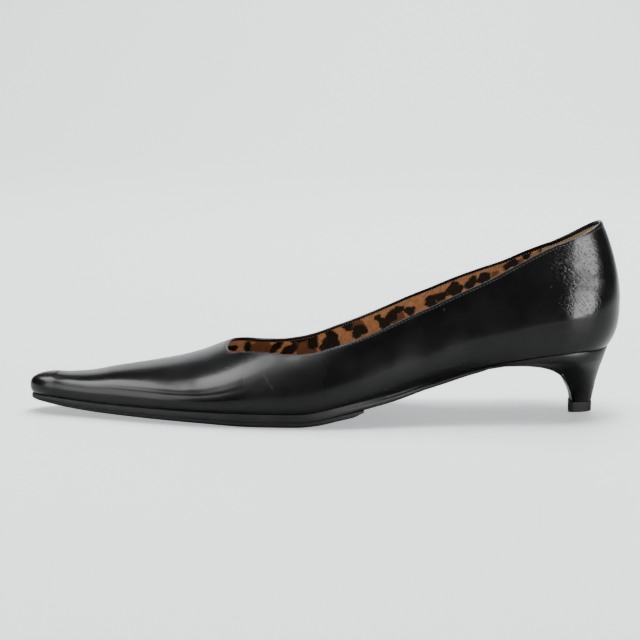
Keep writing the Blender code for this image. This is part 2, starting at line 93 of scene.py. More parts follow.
class CrownRow(NamedTuple):
    """Crown of the last, as shares of toe depth, throat depth and back height."""

    station: float
    toe: float
    throat: float
    back: float


class TwistRow(NamedTuple):
    """Where the crown runs, as a share of the ball width, and how the arch climbs to the inner side."""

    station: float
    axis: float
    climb: float


class ToplineRow(NamedTuple):
    """Topline from the throat to the heel: station, and its height on each side as a share of the crown."""

    reach: float
    station: float
    lateral: float
    medial: float


class EdgeRow(NamedTuple):
    """Sole edge: thickness shares of outsole and half sole, and inset as a share of the waist's inset."""

    station: float
    outsole: float
    half_sole: float
    inset: float


class RingRow(NamedTuple):
    """A ring of the heel: its front and back as shares of seat length and height, and its width."""

    number: float
    front_reach: float
    front_level: float
    back_reach: float
    back_level: float
    width: float


PLAN = [PlanRow(*row) for row in (
    (0.000, 0.092, 0.092),
    (0.0458, 0.134, 0.126),
    (0.0996, 0.199, 0.180),
    (0.1653, 0.282, 0.259),
    (0.2390, 0.373, 0.357),
    (0.2987, 0.433, 0.429),
    (0.3585, 0.477, 0.467),
    (0.4083, 0.499, 0.471),
    (0.4581, 0.508, 0.454),
    (0.5079, 0.506, 0.419),
    (0.5577, 0.489, 0.378),
    (0.6174, 0.450, 0.328),
    (0.6772, 0.420, 0.305),
    (0.7369, 0.425, 0.328),
    (0.7967, 0.465, 0.400),
    (0.8564, 0.495, 0.475),
    (0.903, 0.500, 0.500),
    (1.000, 0.500, 0.500),
)]
LIFT = [LiftRow(*row) for row in (
    (0.000, 1.00, 0.000),
    (0.0289, 0.98, 0.000),
    (0.0627, 0.66, 0.000),
    (0.1275, 0.25, 0.000),
    (0.2031, 0.10, 0.000),
    (0.2987, 0.02, 0.000),
    (0.3884, 0.00, 0.000),
    (0.4640, 0.00, 0.000),
    (0.4879, 0.00, 0.022),
    (0.5278, 0.00, 0.112),
    (0.5587, 0.00, 0.176),
    (0.6134, 0.00, 0.290),
    (0.6841, 0.00, 0.492),
    (0.7638, 0.00, 0.750),
    (0.8016, 0.00, 0.844),
    (0.8325, 0.00, 0.902),
    (0.903, 0.00, 1.010),
    (0.945, 0.00, 1.048),
    (1.000, 0.00, 1.045),
)]
WALL = [WallRow(*row) for row in (
    (0.000, 0.25, 0.25, 0.37, 2.70),
    (0.0458, 0.27, 0.27, 0.36, 2.60),
    (0.1494, 0.31, 0.31, 0.31, 2.30),
    (0.2987, 0.37, 0.37, 0.26, 2.05),
    (0.4581, 0.44, 0.42, 0.21, 1.95),
    (0.5577, 0.62, 0.72, 0.23, 1.85),
    (0.6174, 0.92, 0.98, 0.24, 1.80),
    (0.6772, 1.12, 1.20, 0.25, 1.75),
    (0.7369, 1.02, 1.10, 0.25, 1.66),
    (0.7967, 0.70, 0.78, 0.23, 1.54),
    (0.903, 0.46, 0.46, 0.215, 1.40),
)]
CROWN = [CrownRow(*row) for row in (
    (0.000, 1.00, 0.000, 0.000),
    (0.0458, 1.00, 0.000, 0.000),
    (0.0896, 1.00, 0.036, 0.000),
    (0.1464, 0.85, 0.212, 0.000),
    (0.2181, 0.55, 0.440, 0.000),
    (0.2569, 0.36, 0.580, 0.000),
    (0.2928, 0.20, 0.734, 0.000),
    (0.3396, 0.00, 1.000, 0.000),
    (0.3784, 0.00, 0.950, 0.081),
    (0.4083, 0.00, 0.850, 0.167),
    (0.4581, 0.00, 0.700, 0.295),
    (0.5079, 0.00, 0.550, 0.416),
    (0.5577, 0.00, 0.400, 0.533),
    (0.6174, 0.00, 0.250, 0.677),
    (0.6971, 0.00, 0.100, 0.839),
    (0.7967, 0.00, 0.000, 1.022),
    (0.8574, 0.00, 0.000, 1.146),
    (0.903, 0.00, 0.000, 1.228),
)]
TWIST = [TwistRow(*row) for row in (
    (0.000, 0.000, 0.00),
    (0.1494, 0.000, 0.02),
    (0.2091, 0.000, 0.045),
    (0.2689, -0.004, 0.080),
    (0.3286, -0.008, 0.115),
    (0.3685, -0.010, 0.080),
    (0.4083, -0.012, 0.030),
    (0.4481, -0.016, 0.000),
    (0.5178, -0.024, -0.01),
    (0.5975, -0.034, 0.00),
    (0.6971, -0.036, 0.00),
    (0.7967, -0.018, 0.00),
    (0.903, 0.000, 0.00),
)]
TOPLINE = [ToplineRow(*row) for row in (
    (0.00, 0.3396, 1.000, 1.000),
    (0.05, 0.3426, 0.998, 0.984),
    (0.10, 0.3505, 0.985, 0.944),
    (0.16, 0.3665, 0.965, 0.865),
    (0.24, 0.3983, 0.895, 0.762),
    (0.34, 0.4481, 0.772, 0.700),
    (0.44, 0.5079, 0.704, 0.704),
    (0.54, 0.5726, 0.684, 0.719),
    (0.64, 0.6423, 0.690, 0.735),
    (0.74, 0.7120, 0.677, 0.712),
    (0.84, 0.7817, 0.662, 0.675),
    (0.92, 0.8415, 0.674, 0.645),
    (1.00, 0.9030, 0.690, 0.645),
)]
EDGE = [EdgeRow(*row) for row in (
    (0.000, 0.36, 0.36, -0.30),
    (0.0627, 0.62, 0.58, -0.15),
    (0.1275, 0.72, 0.70, 0.00),
    (0.2987, 0.86, 0.88, 0.00),
    (0.3884, 1.00, 1.00, 0.00),
    (0.4640, 1.00, 1.00, 0.00),
    (0.5268, 1.04, 1.00, 0.20),
    (0.5537, 1.06, 0.95, 0.35),
    (0.5716, 1.04, 0.40, 0.45),
    (0.6353, 0.99, 0.40, 0.80),
    (0.6841, 0.84, 0.40, 1.00),
    (0.7240, 0.82, 0.40, 1.00),
    (0.7638, 0.73, 0.40, 0.90),
    (0.7967, 0.46, 0.40, 0.80),
)]
HEEL_RINGS = [RingRow(*row) for row in (
    (1, 0.924, 0.988, 0.015, 0.899, 0.985),
    (2, 0.791, 0.985, 0.027, 0.818, 0.930),
    (3, 0.656, 0.945, 0.039, 0.729, 0.820),
    (4, 0.531, 0.862, 0.056, 0.623, 0.690),
    (5, 0.432, 0.730, 0.069, 0.514, 0.570),
    (6, 0.359, 0.548, 0.084, 0.385, 0.450),
    (7, 0.312, 0.341, 0.095, 0.251, 0.350),
    (8, 0.283, 0.161, 0.107, 0.113, 0.275),
    (9, 0.271, 0.000, 0.116, 0.000, 0.235),
)]


class CreaseRow(NamedTuple):
    """A crease pressed into the skin, from one place on a side to another, in millimetres."""

    side: float
    x_start: float
    z_start: float
    x_end: float
    z_end: float
    depth: float
    width: float


class PatchRow(NamedTuple):
    """A patch on one side of the shoe: middle, length and width in millimetres, and tilt in degrees."""

    side: float
    x: float
    z: float
    length: float
    width: float
    tilt: float


class Spot(Enum):
    """What a patch of the calf hair print is."""

    BLACK = "black"
    BROWN = "brown"


class SpotRow(NamedTuple):
    """One spot of the print: middle, length and width in millimetres, and tilt in degrees."""

    kind: Spot
    x: float
    z: float
    length: float
    width: float
    tilt: float


class BandRow(NamedTuple):
    """Width of the leather band inside the topline: place along the shoe and width, both in millimetres."""

    x: float
    width: float


BAND = [BandRow(*row) for row in (
    (85, 1.7),
    (105, 1.5),
    (118, 0.8),
    (150, 0.5),
    (215, 0.5),
    (230, 0.9),
    (245, 1.2),
    (265, 1.5),
)]
CREASES = [CreaseRow(*row) for row in (
    (LATERAL, 96, 11, 112, 24, 0.05, 2.4),
    (LATERAL, 105, 9, 122, 20, 0.04, 2.2),
    (LATERAL, 61, 17, 74, 21, 0.02, 1.4),
    (LATERAL, 66, 15, 79, 18, 0.02, 1.2),
    (LATERAL, 128, 23, 150, 30, 0.03, 2.0),
    (LATERAL, 152, 18, 172, 24, 0.03, 2.4),
    (LATERAL, 244, 61, 266, 66, 0.10, 4.0),
    (LATERAL, 247, 74, 259, 68, 0.06, 1.0),
    (LATERAL, 240, 76, 252, 72, 0.04, 0.9),
    (LATERAL, 244, 68, 257, 63, 0.05, 1.0),
    (LATERAL, 236, 70, 246, 66, 0.03, 0.9),
    (MEDIAL, 94, 12, 110, 25, 0.08, 2.4),
    (MEDIAL, 104, 10, 121, 22, 0.07, 2.2),
    (MEDIAL, 150, 18, 170, 26, 0.05, 2.6),
    (MEDIAL, 170, 26, 192, 33, 0.04, 2.4),
    (MEDIAL, 228, 60, 248, 70, 0.08, 1.8),
    (MEDIAL, 234, 50, 250, 58, 0.08, 2.0),
)]
SCUFFS = [PatchRow(*row) for row in (
    (LATERAL, 108.0, 21.5, 9.0, 1.3, -65),
    (LATERAL, 110.5, 19.0, 6.0, 1.0, -60),
    (LATERAL, 105.5, 25.0, 4.0, 0.9, -50),
    (LATERAL, 160.7, 16.1, 3.4, 0.9, 25),
    (LATERAL, 186.2, 50.0, 3.5, 0.7, 80),
    (LATERAL, 90.0, 24.0, 3.0, 0.8, 10),
    (LATERAL, 12.0, 14.0, 5.0, 1.6, 0),
    (LATERAL, 233.0, 60.0, 3.0, 0.8, -45),
    (MEDIAL, 120.0, 14.0, 6.0, 1.2, 15),
    (MEDIAL, 60.0, 12.0, 7.0, 1.0, 5),
    (MEDIAL, 238.0, 52.0, 5.0, 1.0, 50),
)]
CRUMPLED = [PatchRow(*row) for row in (
    (LATERAL, 247.0, 70.0, 26.0, 26.0, 40),
    (LATERAL, 246.0, 54.0, 20.0, 14.0, 0),
    (MEDIAL, 242.0, 66.0, 24.0, 28.0, -20),
)]
DULLED = [PatchRow(*row) for row in (
    (LATERAL, 116.0, 26.0, 42.0, 80.0, 0),
    (MEDIAL, 116.0, 26.0, 42.0, 80.0, 0),
)]
INNER_SPOTS = [SpotRow(*row) for row in (
    (Spot.BLACK, 89.5, 23.6, 5.5, 5.5, 60),
    (Spot.BROWN, 104.0, 23.0, 14.0, 12.0, 10),
    (Spot.BLACK, 96.8, 23.8, 3.6, 13.0, -8),
    (Spot.BLACK, 104.0, 28.4, 13.0, 3.2, -4),
    (Spot.BLACK, 111.0, 24.0, 4.2, 13.0, -24),
    (Spot.BROWN, 124.8, 22.6, 10.5, 12.5, 20),
    (Spot.BLACK, 117.4, 22.4, 5.2, 11.5, -38),
    (Spot.BLACK, 121.6, 27.8, 10.5, 5.0, 10),
    (Spot.BLACK, 128.6, 26.8, 5.0, 12.5, -6),
    (Spot.BLACK, 137.4, 27.6, 8.5, 12.0, 10),
    (Spot.BLACK, 134.6, 23.4, 6.0, 9.0, -30),
    (Spot.BLACK, 144.5, 35.2, 5.6, 7.0, 0),
    (Spot.BROWN, 148.8, 37.0, 6.0, 6.0, 10),
    (Spot.BLACK, 150.2, 32.4, 6.6, 9.6, -14),
    (Spot.BLACK, 158.6, 39.0, 4.0, 4.5, 0),
    (Spot.BLACK, 161.8, 36.4, 6.0, 5.6, 20),
    (Spot.BROWN, 168.8, 38.6, 8.4, 6.4, 30),
    (Spot.BLACK, 165.4, 40.2, 6.0, 9.5, -18),
    (Spot.BLACK, 168.2, 43.2, 7.0, 4.2, 10),
    (Spot.BLACK, 174.0, 42.8, 5.6, 5.2, 0),
    (Spot.BROWN, 188.4, 46.6, 7.5, 4.8, 25),
    (Spot.BLACK, 183.2, 47.4, 6.0, 7.0, -20),
    (Spot.BLACK, 187.2, 50.0, 8.6, 4.8, 8),
    (Spot.BLACK, 194.4, 53.0, 8.6, 7.5, 10),
    (Spot.BROWN, 196.8, 52.8, 4.0, 3.4, 60),
    (Spot.BLACK, 202.4, 56.0, 5.6, 8.4, -10),
    (Spot.BLACK, 208.2, 58.6, 7.0, 5.8, 15),
    (Spot.BROWN, 213.0, 60.4, 4.0, 3.0, 20),
    (Spot.BLACK, 220.0, 64.8, 7.4, 5.0, 20),
    (Spot.BROWN, 224.8, 66.0, 4.0, 3.6, 20),
    (Spot.BLACK, 228.2, 69.2, 5.2, 4.4, 20),
)]


def ease(t: np.ndarray | float) -> np.ndarray:
    """0 to 1 with level ends."""
    t = np.clip(t, 0.0, 1.0)
    return t * t * (3 - 2 * t)


class Curve:
    """A smooth curve through the rows of a table, which never overshoots between two rows."""

    def __init__(self, rows: Sequence, parts: dict[str, float], place: str = "station") -> None:
        """Reads the table.

        Args:
            rows: The rows in rising order of place.
            parts: The columns that the curve sums, each with the size that the column is a share of.
            place: The column that holds the place.
        """
        self.at = np.array([getattr(row, place) for row in rows], float)
        self.value = np.array(
            [sum(getattr(row, name) * size for name, size in parts.items()) for row in rows]
        )
        step = np.diff(self.at)
        slope = np.diff(self.value) / step
        self.tangent = np.concatenate([slope[:1], np.zeros(len(step) - 1), slope[-1:]])
        for i in range(1, len(step)):
            if slope[i - 1] * slope[i] > 0:
                before, after = step[i - 1] + 2 * step[i], 2 * step[i - 1] + step[i]
                self.tangent[i] = (before + after) / (before / slope[i - 1] + after / slope[i])

    def __call__(self, place: np.ndarray | float) -> np.ndarray:
        """The curve's value at one place or at many."""
        place = np.clip(place, self.at[0], self.at[-1])
        i = np.minimum(np.searchsorted(self.at, place, side="right") - 1, len(self.at) - 2)
        step = self.at[i + 1] - self.at[i]
        t = (place - self.at[i]) / step
        start, end = (1 + 2 * t) * (1 - t) ** 2, t * t * (3 - 2 * t)
        rise, fall = t * (1 - t) ** 2 * step, t * t * (t - 1) * step
        return (
            start * self.value[i] + end * self.value[i + 1]
            + rise * self.tangent[i] + fall * self.tangent[i + 1]
        )


class Columns(NamedTuple):
    """Columns of leather, each from its foot on the feather line to its end on the ridge or topline."""

    side: np.ndarray
    foot: np.ndarray
    end: np.ndarray
    top: np.ndarray

    def between(self, first: float, last: float) -> "Columns":
        """Only the columns whose feet stand between two stations."""
        kept = (self.foot >= first) & (self.foot <= last)
        return Columns(*(values[kept] for values in self))


@dataclass
class Last:
    """The last that the shoe was made on, which gives every piece its shape."""

    sole_length: float = 0.2627
    ball_width: float = 0.076
    seat_width: float = 0.051
    seat_height: float = 0.0301
    toe_spring: float = 0.0022
    toe_depth: float = 0.0097
    throat_depth: float = 0.0240
    back_height: float = 0.0570
    back_bulge: float = 0.0050
    toe_rounding: float = 0.012
    outsole: float = 0.0037
    half_sole: float = 0.0018
    waist_inset: float = 0.0010
    toe_proud: float = 0.0006
    seam_gap: float = 0.0003
    throat: float = 0.3396
    throat_feather: float = 0.3137
    back_top: float = 0.7085
    origin: tuple[float, float] = (-0.13322, 0.00153)

    def __post_init__(self) -> None:
        """Makes the curves from the tables and the sizes."""
        self.toe_pivot = self.toe_rounding / self.sole_length
        self.heel_pivot = 1.0 - 0.5 * self.seat_width / self.sole_length
        self.stack = self.outsole + self.half_sole + 2 * self.seam_gap
        self.plan = Curve(PLAN, {"lateral": 1}), Curve(PLAN, {"medial": 1})
        self.bulge = Curve(WALL, {"lateral": 1}), Curve(WALL, {"medial": 1})
        self.widest = Curve(WALL, {"widest": 1})
        self.arch = Curve(WALL, {"arch": 1})
        self.lift = Curve(LIFT, {"toe": self.toe_spring, "seat": self.seat_height - self.stack})
        sizes = {"toe": self.toe_depth, "throat": self.throat_depth, "back": self.back_height}
        self.crown = Curve(CROWN, sizes)
        self.axis = Curve(TWIST, {"axis": self.ball_width})
        self.climb = Curve(TWIST, {"climb": 1})
        self.top_station = Curve(TOPLINE, {"station": 1}, "reach")
        self.top_share = Curve(TOPLINE, {"lateral": 1}, "reach"), Curve(TOPLINE, {"medial": 1}, "reach")

    @staticmethod
    def of_side(pair: tuple[Curve, Curve], side: np.ndarray | float, place: np.ndarray | float) -> np.ndarray:
        """The outer or the inner curve of a pair, as the side says."""
        return np.where(np.asarray(side) < 0, pair[0](place), pair[1](place))

    def end_cap(self, station: np.ndarray | float) -> np.ndarray:
        """How the plan closes round toe tip and heel: 1 along the sides, 0 at the ends."""
        station = np.asarray(station, float)
        toe = np.clip(1 - station / self.toe_pivot, 0, 1)
        heel = np.clip((station - self.heel_pivot) / (1 - self.heel_pivot), 0, 1)
        return np.sqrt(1 - np.maximum(toe, heel) ** 2)

    def half_width(self, station: np.ndarray | float, side: np.ndarray | float) -> np.ndarray:
        """Half width of the feather line."""
        seat_share = ease((np.asarray(station) - TAPER_START) / (self.heel_pivot - TAPER_START))
        width = self.ball_width + (self.seat_width - self.ball_width) * seat_share
        return self.of_side(self.plan, side, station) * width * self.end_cap(station)

    def feather_height(self, station: np.ndarray | float) -> np.ndarray:
        """Height of the feather line above the floor."""
        return self.stack + self.lift(station)

    def seat_under(self, x: np.ndarray | float) -> np.ndarray:
        """The level that heel and outsole rest against, a seam's gap under the upper."""
        return self.feather_height(np.asarray(x) / self.sole_length) - self.seam_gap

    def point(
        self, side: np.ndarray, foot: np.ndarray, station: np.ndarray, top: np.ndarray, level: np.ndarray
    ) -> np.ndarray:
        """Points on the outside of the last, in the shoe's own frame.

        Args:
            side: Outer or inner side.
            foot: Where the column starts on the feather line.
            station: The place along the shoe.
            top: Height at which the column ends, as a share of the crown.
            level: Place on the column, 0 to 1 up to the widest place and 1 to 2 above it.

        Returns:
            The points, with x, y and z in the last dimension.
        """
        side, foot, station, top, level = np.broadcast_arrays(side, foot, station, top, level)
        pivot = np.clip(station, self.toe_pivot, self.heel_pivot)
        axis = self.axis(pivot)
        out = np.stack([(foot - pivot) * self.sole_length, side * self.half_width(foot, side) - axis], -1)
        reach = np.hypot(out[..., 0], out[..., 1])
        out = out / np.maximum(reach, 1e-9)[..., None]
        back = np.where(foot > self.heel_pivot, out[..., 0] ** 2, 0.0)
        crown = self.crown(pivot) + back * (BACK_CROWN * self.back_height - self.crown(1.0))
        widest = crown * (self.widest(pivot) + back * (BACK_WIDEST - self.widest(1.0)))
        arch = self.arch(pivot) + back * (BACK_ARCH - self.arch(1.0))
        share = self.of_side(self.bulge, side, foot)
        bulge = self.back_bulge * (share + back * (1 - self.of_side(self.bulge, side, 1.0)))
        low = np.clip(level, 0, 1)
        rise = np.clip((top * crown - widest) / (crown - widest), 0, 1)
        angle = np.clip(level - 1, 0, 1) * np.arcsin(rise ** (arch / 2))
        height = np.where(level <= 1, widest * low, widest + (crown - widest) * np.sin(angle) ** (2 / arch))
        across = np.where(
            level <= 1,
            reach + bulge * (1 - (1 - low) ** (UNDERCUT_POWER + BACK_UNDERCUT * back)),
            (reach + bulge) * np.clip(np.cos(angle), 0, 1) ** (2 / arch),
        )
        x = pivot * self.sole_length + out[..., 0] * across
        y = axis + out[..., 1] * across
        z = self.feather_height(foot) + height + self.climb(pivot) * (y - axis) * height / crown
        return self.placed(x, y, z)

    def placed(self, x: np.ndarray, y: np.ndarray, z: np.ndarray) -> np.ndarray:
        """Points of the last's own frame as points of the row's frame."""
        return np.stack(np.broadcast_arrays(x + self.origin[0], y + self.origin[1], z), -1)

    def columns(self, toe: int, vamp: int, quarter: int, heel: int, inset: float = 0.0) -> Columns:
        """The columns of the upper, from the toe tip along the outer side, round the heel and back again.

        Args:
            toe: Number of columns round one half of the toe tip.
            vamp: Number of columns of one side of the vamp.
            quarter: Number of columns of one quarter.
            heel: Number of columns round one half of the heel.
            inset: How far the columns end short of the topline.
        """
        turns = np.linspace(0, math.pi / 2, toe + 1)
        reach = np.linspace(0, 1, quarter + 1)[1:]
        turn = np.sin(np.linspace(0, math.pi / 2, heel + 1)[1:])
        fade = 1 - ease(reach / 0.10)
        front = inset / self.sole_length
        foot = np.concatenate([
            self.toe_pivot * (1 - np.cos(turns)),
            np.linspace(self.toe_pivot, self.throat_feather, vamp + 1)[1:],
            np.linspace(self.throat_feather, self.heel_pivot, quarter + 1)[1:],
            self.heel_pivot + (1 - self.heel_pivot) * turn,
        ])
        end = np.concatenate([
            np.full(toe + 1, self.toe_pivot),
            np.linspace(self.toe_pivot, self.throat - front, vamp + 1)[1:],
            self.top_station(reach) - front * fade,
            self.heel_pivot + (1 - self.heel_pivot) * turn,
        ])
        lower = inset / self.crown(end[toe + 1 + vamp:])
        halves = []
        for side in (LATERAL, MEDIAL):
            sill = float(self.of_side(self.top_share, side, 1.0))
            top = np.concatenate([
                np.ones(toe + 1 + vamp),
                self.of_side(self.top_share, side, reach) - lower[:quarter] * (1 - fade),
                sill + (self.back_top - sill) * turn ** BACK_SWEEP - lower[quarter:],
            ])
            halves.append(Columns(np.full(len(foot), side), foot, end, top))
        return Columns(*(np.concatenate([outer, inner[-2::-1]]) for outer, inner in zip(*halves)))

    def skin(self, columns: Columns, levels: np.ndarray) -> np.ndarray:
        """Points on the outside of the last, by column and level."""
        side, foot, end, top = (values[:, None] for values in columns)
        station = foot + (end - foot) * ease(levels[None, :] / 2)
        along = (foot > self.toe_pivot) & (foot < self.heel_pivot)
        return self.point(side, np.where(along, station, foot), station, top, levels[None, :])

    def margin(self, columns: Columns, width: float) -> np.ndarray:
        """The lasting margin's inner edge, turned in under the insole, one point for each column."""
        edge = self.skin(columns, np.array([0.0]))[:, 0]
        foot = np.clip(columns.foot, self.toe_pivot, self.heel_pivot)
        middle = self.placed(foot * self.sole_length, 0.0, 0.0)
        inward = (middle - edge)[:, :2]
        turned = edge.copy()
        turned[:, :2] += width * inward / np.linalg.norm(inward, axis=1)[:, None]
        turned[:, 2] = self.feather_height((turned[:, 0] - self.origin[0]) / self.sole_length)
        return turned


def sheet_over(points: np.ndarray) -> bmesh.types.BMesh:
    """A created grid laid over points.

    Args:
        points: The places, by column and row, with x, y and z in the last dimension.

    Returns:
        The shape, with its doubles merged and its faces turned one way.
    """
    columns, rows = points.shape[:2]
    shape = bmesh.new()
    bmesh.ops.create_grid(shape, x_segments=columns - 1, y_segments=rows - 1, size=1.0)
    for vert in shape.verts:
        i = round((vert.co.x + 1) / 2 * (columns - 1))
        j = round((vert.co.y + 1) / 2 * (rows - 1))
        vert.co = points[i, j]
    bmesh.ops.remove_doubles(shape, verts=shape.verts, dist=2e-6)
    bmesh.ops.recalc_face_normals(shape, faces=shape.faces)
    shape.normal_update()
    return shape


def turn_outwards(shape: bmesh.types.BMesh, level: float) -> None:
    """Turns the faces of an open shell round the shoe so that they face away from its middle.

    Args:
        shape: The shell.
        level: Height of the middle line above the floor.
    """
    middle = Vector((0.0, 0.0, level))
    outward = sum(
        face.normal.dot(face.calc_center_median() - middle) * face.calc_area() for face in shape.faces
    )
    if outward < 0:
        bmesh.ops.reverse_faces(shape, faces=shape.faces)
    shape.normal_update()


def sink(shape: bmesh.types.BMesh, depth: float) -> None:
    """Moves a shell inwards, square to itself."""
    moved = [(vert, vert.co - vert.normal * depth) for vert in shape.verts]
    for vert, place in moved:
        vert.co = place
    shape.normal_update()


def close_ends(shape: bmesh.types.BMesh) -> None:
    """Fills the open ends of a tube and turns every face outwards."""
    edges = [edge for edge in shape.edges if edge.is_boundary]
    bmesh.ops.holes_fill(shape, edges=edges, sides=0)
    bmesh.ops.recalc_face_normals(shape, faces=shape.faces)


def finished(
    name: str, shape: bmesh.types.BMesh, finish: bpy.types.Material,
    stands_for: Sequence[str] = (), sharp: float = 40.0,
) -> bpy.types.Object:
    """The shape as a named piece that rides on the shoe.

    Args:
        name: The piece's name.
        shape: Its mesh, which is used up.
        finish: Its material.
        stands_for: The CAD nodes that it is shown for.
        sharp: Edges that turn by more than this, in degrees, stay sharp.
    """
    mesh = bpy.data.meshes.new(name)
    shape.to_mesh(mesh)
    shape.free()
    mesh.materials.append(finish)
    mesh.shade_smooth()
    mesh.set_sharp_from_angle(angle=math.radians(sharp))
    made = bpy.data.objects.new(name, mesh)
    bpy.context.scene.collection.objects.link(made)
    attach(made, "root")
    if stands_for:
        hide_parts(*stands_for)
    return made


def add_wall(piece: bpy.types.Object, thickness: float) -> None:
    """Gives a shell its wall, on the inside."""
    wall = piece.modifiers.new("wall", "SOLIDIFY")
    wall.thickness = thickness
    wall.offset = -1.0
    wall.use_even_offset = False


class Surface:
    """A piece's points and normals, for placing marks on it."""

    def __init__(self, piece: bpy.types.Object) -> None:
        """Reads the piece's mesh."""
        self.mesh = piece.data
        count = len(self.mesh.vertices)
        self.points = np.empty(count * 3)
        self.mesh.vertices.foreach_get("co", self.points)
        self.points = self.points.reshape(-1, 3)
        self.normals = np.empty(count * 3)
        self.mesh.vertices.foreach_get("normal", self.normals)
        self.normals = self.normals.reshape(-1, 3)

    def nearest(self, side: float, x: float, z: float, origin: float) -> int:
        """The vertex of one side nearest to a place along and above the floor, in millimetres."""
        far = (self.points[:, 0] - origin - x * MM) ** 2 + (self.points[:, 2] - z * MM) ** 2
        far = far + np.where(self.normals[:, 1] * side > 0, 0.0, 1.0)
        return int(np.argmin(far))

    def polar(self, middle: int, length: float, width: float, tilt: float) -> tuple[np.ndarray, np.ndarray]:
        """Distance from a patch's middle, as a share of its size, and direction, for every vertex.

        Args:
            middle: The vertex at the patch's middle.
            length: The patch's length in millimetres.
            width: Its width in millimetres.
            tilt: How far it is turned up from the shoe's length, in degrees.
        """
        normal = self.normals[middle]
        along = np.array([1.0, 0.0, 0.0]) - normal * normal[0]
        along = along / np.linalg.norm(along)
        up = np.cross(normal, along)
        up = up * (1.0 if up[2] >= 0 else -1.0)
        turn = math.radians(tilt)
        first = along * math.cos(turn) + up * math.sin(turn)
        second = up * math.cos(turn) - along * math.sin(turn)
        away = self.points - self.points[middle]
        a, b = away @ first / (0.5 * length * MM), away @ second / (0.5 * width * MM)
        deep = away @ normal / (0.5 * max(length, width) * MM)
        return np.sqrt(a * a + b * b + 0.5 * deep * deep), np.arctan2(b, a)

    def store(self, name: str, values: np.ndarray) -> None:
        """Keeps one number for each vertex under a name that materials read."""
        kept = self.mesh.attributes.new(name, "FLOAT", "POINT")
        kept.data.foreach_set("value", values.astype(np.float32))


@dataclass
class NodeBench:
    """Puts nodes into one tree and joins them."""

    tree: bpy.types.NodeTree

    def put(self, kind: str, inputs: dict | None = None, **settings: object) -> bpy.types.Node:
        """Adds a node.

        Args:
            kind: The node's type without its prefix.
            inputs: Values or sockets for its inputs, by name or number.
            **settings: The node's own settings.
        """
        node = self.tree.nodes.new("ShaderNode" + kind)
        for name, value in settings.items():
            setattr(node, name, value)
        for socket, value in (inputs or {}).items():
            self.feed(node.inputs[socket], value)
        return node

    def feed(self, socket: bpy.types.NodeSocket, value: object) -> None:
        """Joins a socket to another or gives it a value."""
        if isinstance(value, bpy.types.NodeSocket):
            self.tree.links.new(value, socket)
        else:
            socket.default_value = value

    def math(self, operation: str, a: object, b: object = 0.0, clamp: bool = False) -> bpy.types.NodeSocket:
        """One sum on two numbers."""
        return self.put("Math", {0: a, 1: b}, operation=operation, use_clamp=clamp).outputs[0]

    def swing(self, value: object, size: float) -> bpy.types.NodeSocket:
        """A number that swings round a half, made to swing round zero."""
        return self.math("MULTIPLY", self.math("SUBTRACT", value, 0.5), size)

    def blend(self, share: object, a: object, b: object) -> bpy.types.NodeSocket:
        """A colour between two colours."""
        a, b = ((*end, 1.0) if isinstance(end, tuple) else end for end in (a, b))
        return self.put("Mix", {0: share, 6: a, 7: b}, data_type="RGBA").outputs[2]

    def bump(self, height: object, distance: float, strength: float = 1.0) -> bpy.types.NodeSocket:
        """A normal that follows a height."""
        return self.put("Bump", {"Height": height, "Distance": distance, "Strength": strength}).outputs[0]

    def ramp(
        self, value: object, low: float, high: float, start: float = 0.0, end: float = 1.0
    ) -> bpy.types.NodeSocket:
        """A number moved from one range to another, with level ends."""
        inputs = {"Value": value, "From Min": low, "From Max": high, "To Min": start, "To Max": end}
        return self.put("MapRange", inputs, interpolation_type="SMOOTHSTEP").outputs[0]

    def noise(
        self, vector: object, scale: float, detail: float = 2.0, roughness: float = 0.5
    ) -> bpy.types.NodeSocket:
        """Noise with its size per metre."""
        inputs = {"Vector": vector, "Scale": scale, "Detail": detail, "Roughness": roughness}
        return self.put("TexNoise", inputs).outputs["Fac"]

    def attribute(self, name: str) -> bpy.types.NodeSocket:
        """A number that the mesh carries."""
        return self.put("Attribute", attribute_name=name).outputs["Fac"]

    def place(self) -> bpy.types.NodeSocket:
        """The point's place on the shoe."""
        return self.put("TexCoord").outputs["Object"]


def effect(
    name: str,
    inputs: dict[str, float],
    outputs: Sequence[str],
    build: Callable[[NodeBench, dict, dict], None],
) -> bpy.types.NodeTree:
    """A shader node group, made once.

    Args:
        name: The group's name.
        inputs: Its number inputs with their defaults, after the place as a vector.
        outputs: Its outputs, all numbers.
        build: Fills the group, from its bench, its inner inputs and its inner outputs.
    """
    if name in bpy.data.node_groups:
        return bpy.data.node_groups[name]
    tree = bpy.data.node_groups.new(name, "ShaderNodeTree")
    tree.interface.new_socket("Place", in_out="INPUT", socket_type="NodeSocketVector")
    for socket, value in inputs.items():
        tree.interface.new_socket(socket, in_out="INPUT", socket_type="NodeSocketFloat").default_value = value
    for socket in outputs:
        tree.interface.new_socket(socket, in_out="OUTPUT", socket_type="NodeSocketFloat")
    bench = NodeBench(tree)
    start, end = tree.nodes.new("NodeGroupInput"), tree.nodes.new("NodeGroupOutput")
    build(bench, {s.name: s for s in start.outputs}, {s.name: s for s in end.inputs})
    return tree


def stretched(
    bench: NodeBench, place: bpy.types.NodeSocket, turn: Sequence[float], factors: Sequence[float]
) -> bpy.types.NodeSocket:
    """A place as seen by a pattern that is turned and then drawn out.

    Args:
        bench: The material's or the group's bench.
        place: The place on the shoe.
        turn: The pattern's turn about x, y and z, in radians.
        factors: How much longer the pattern is along its own x, y and z.
    """
    node = bench.put("Mapping", {"Vector": place, "Rotation": turn, "Scale": factors}, vector_type="TEXTURE")
    return node.outputs[0]


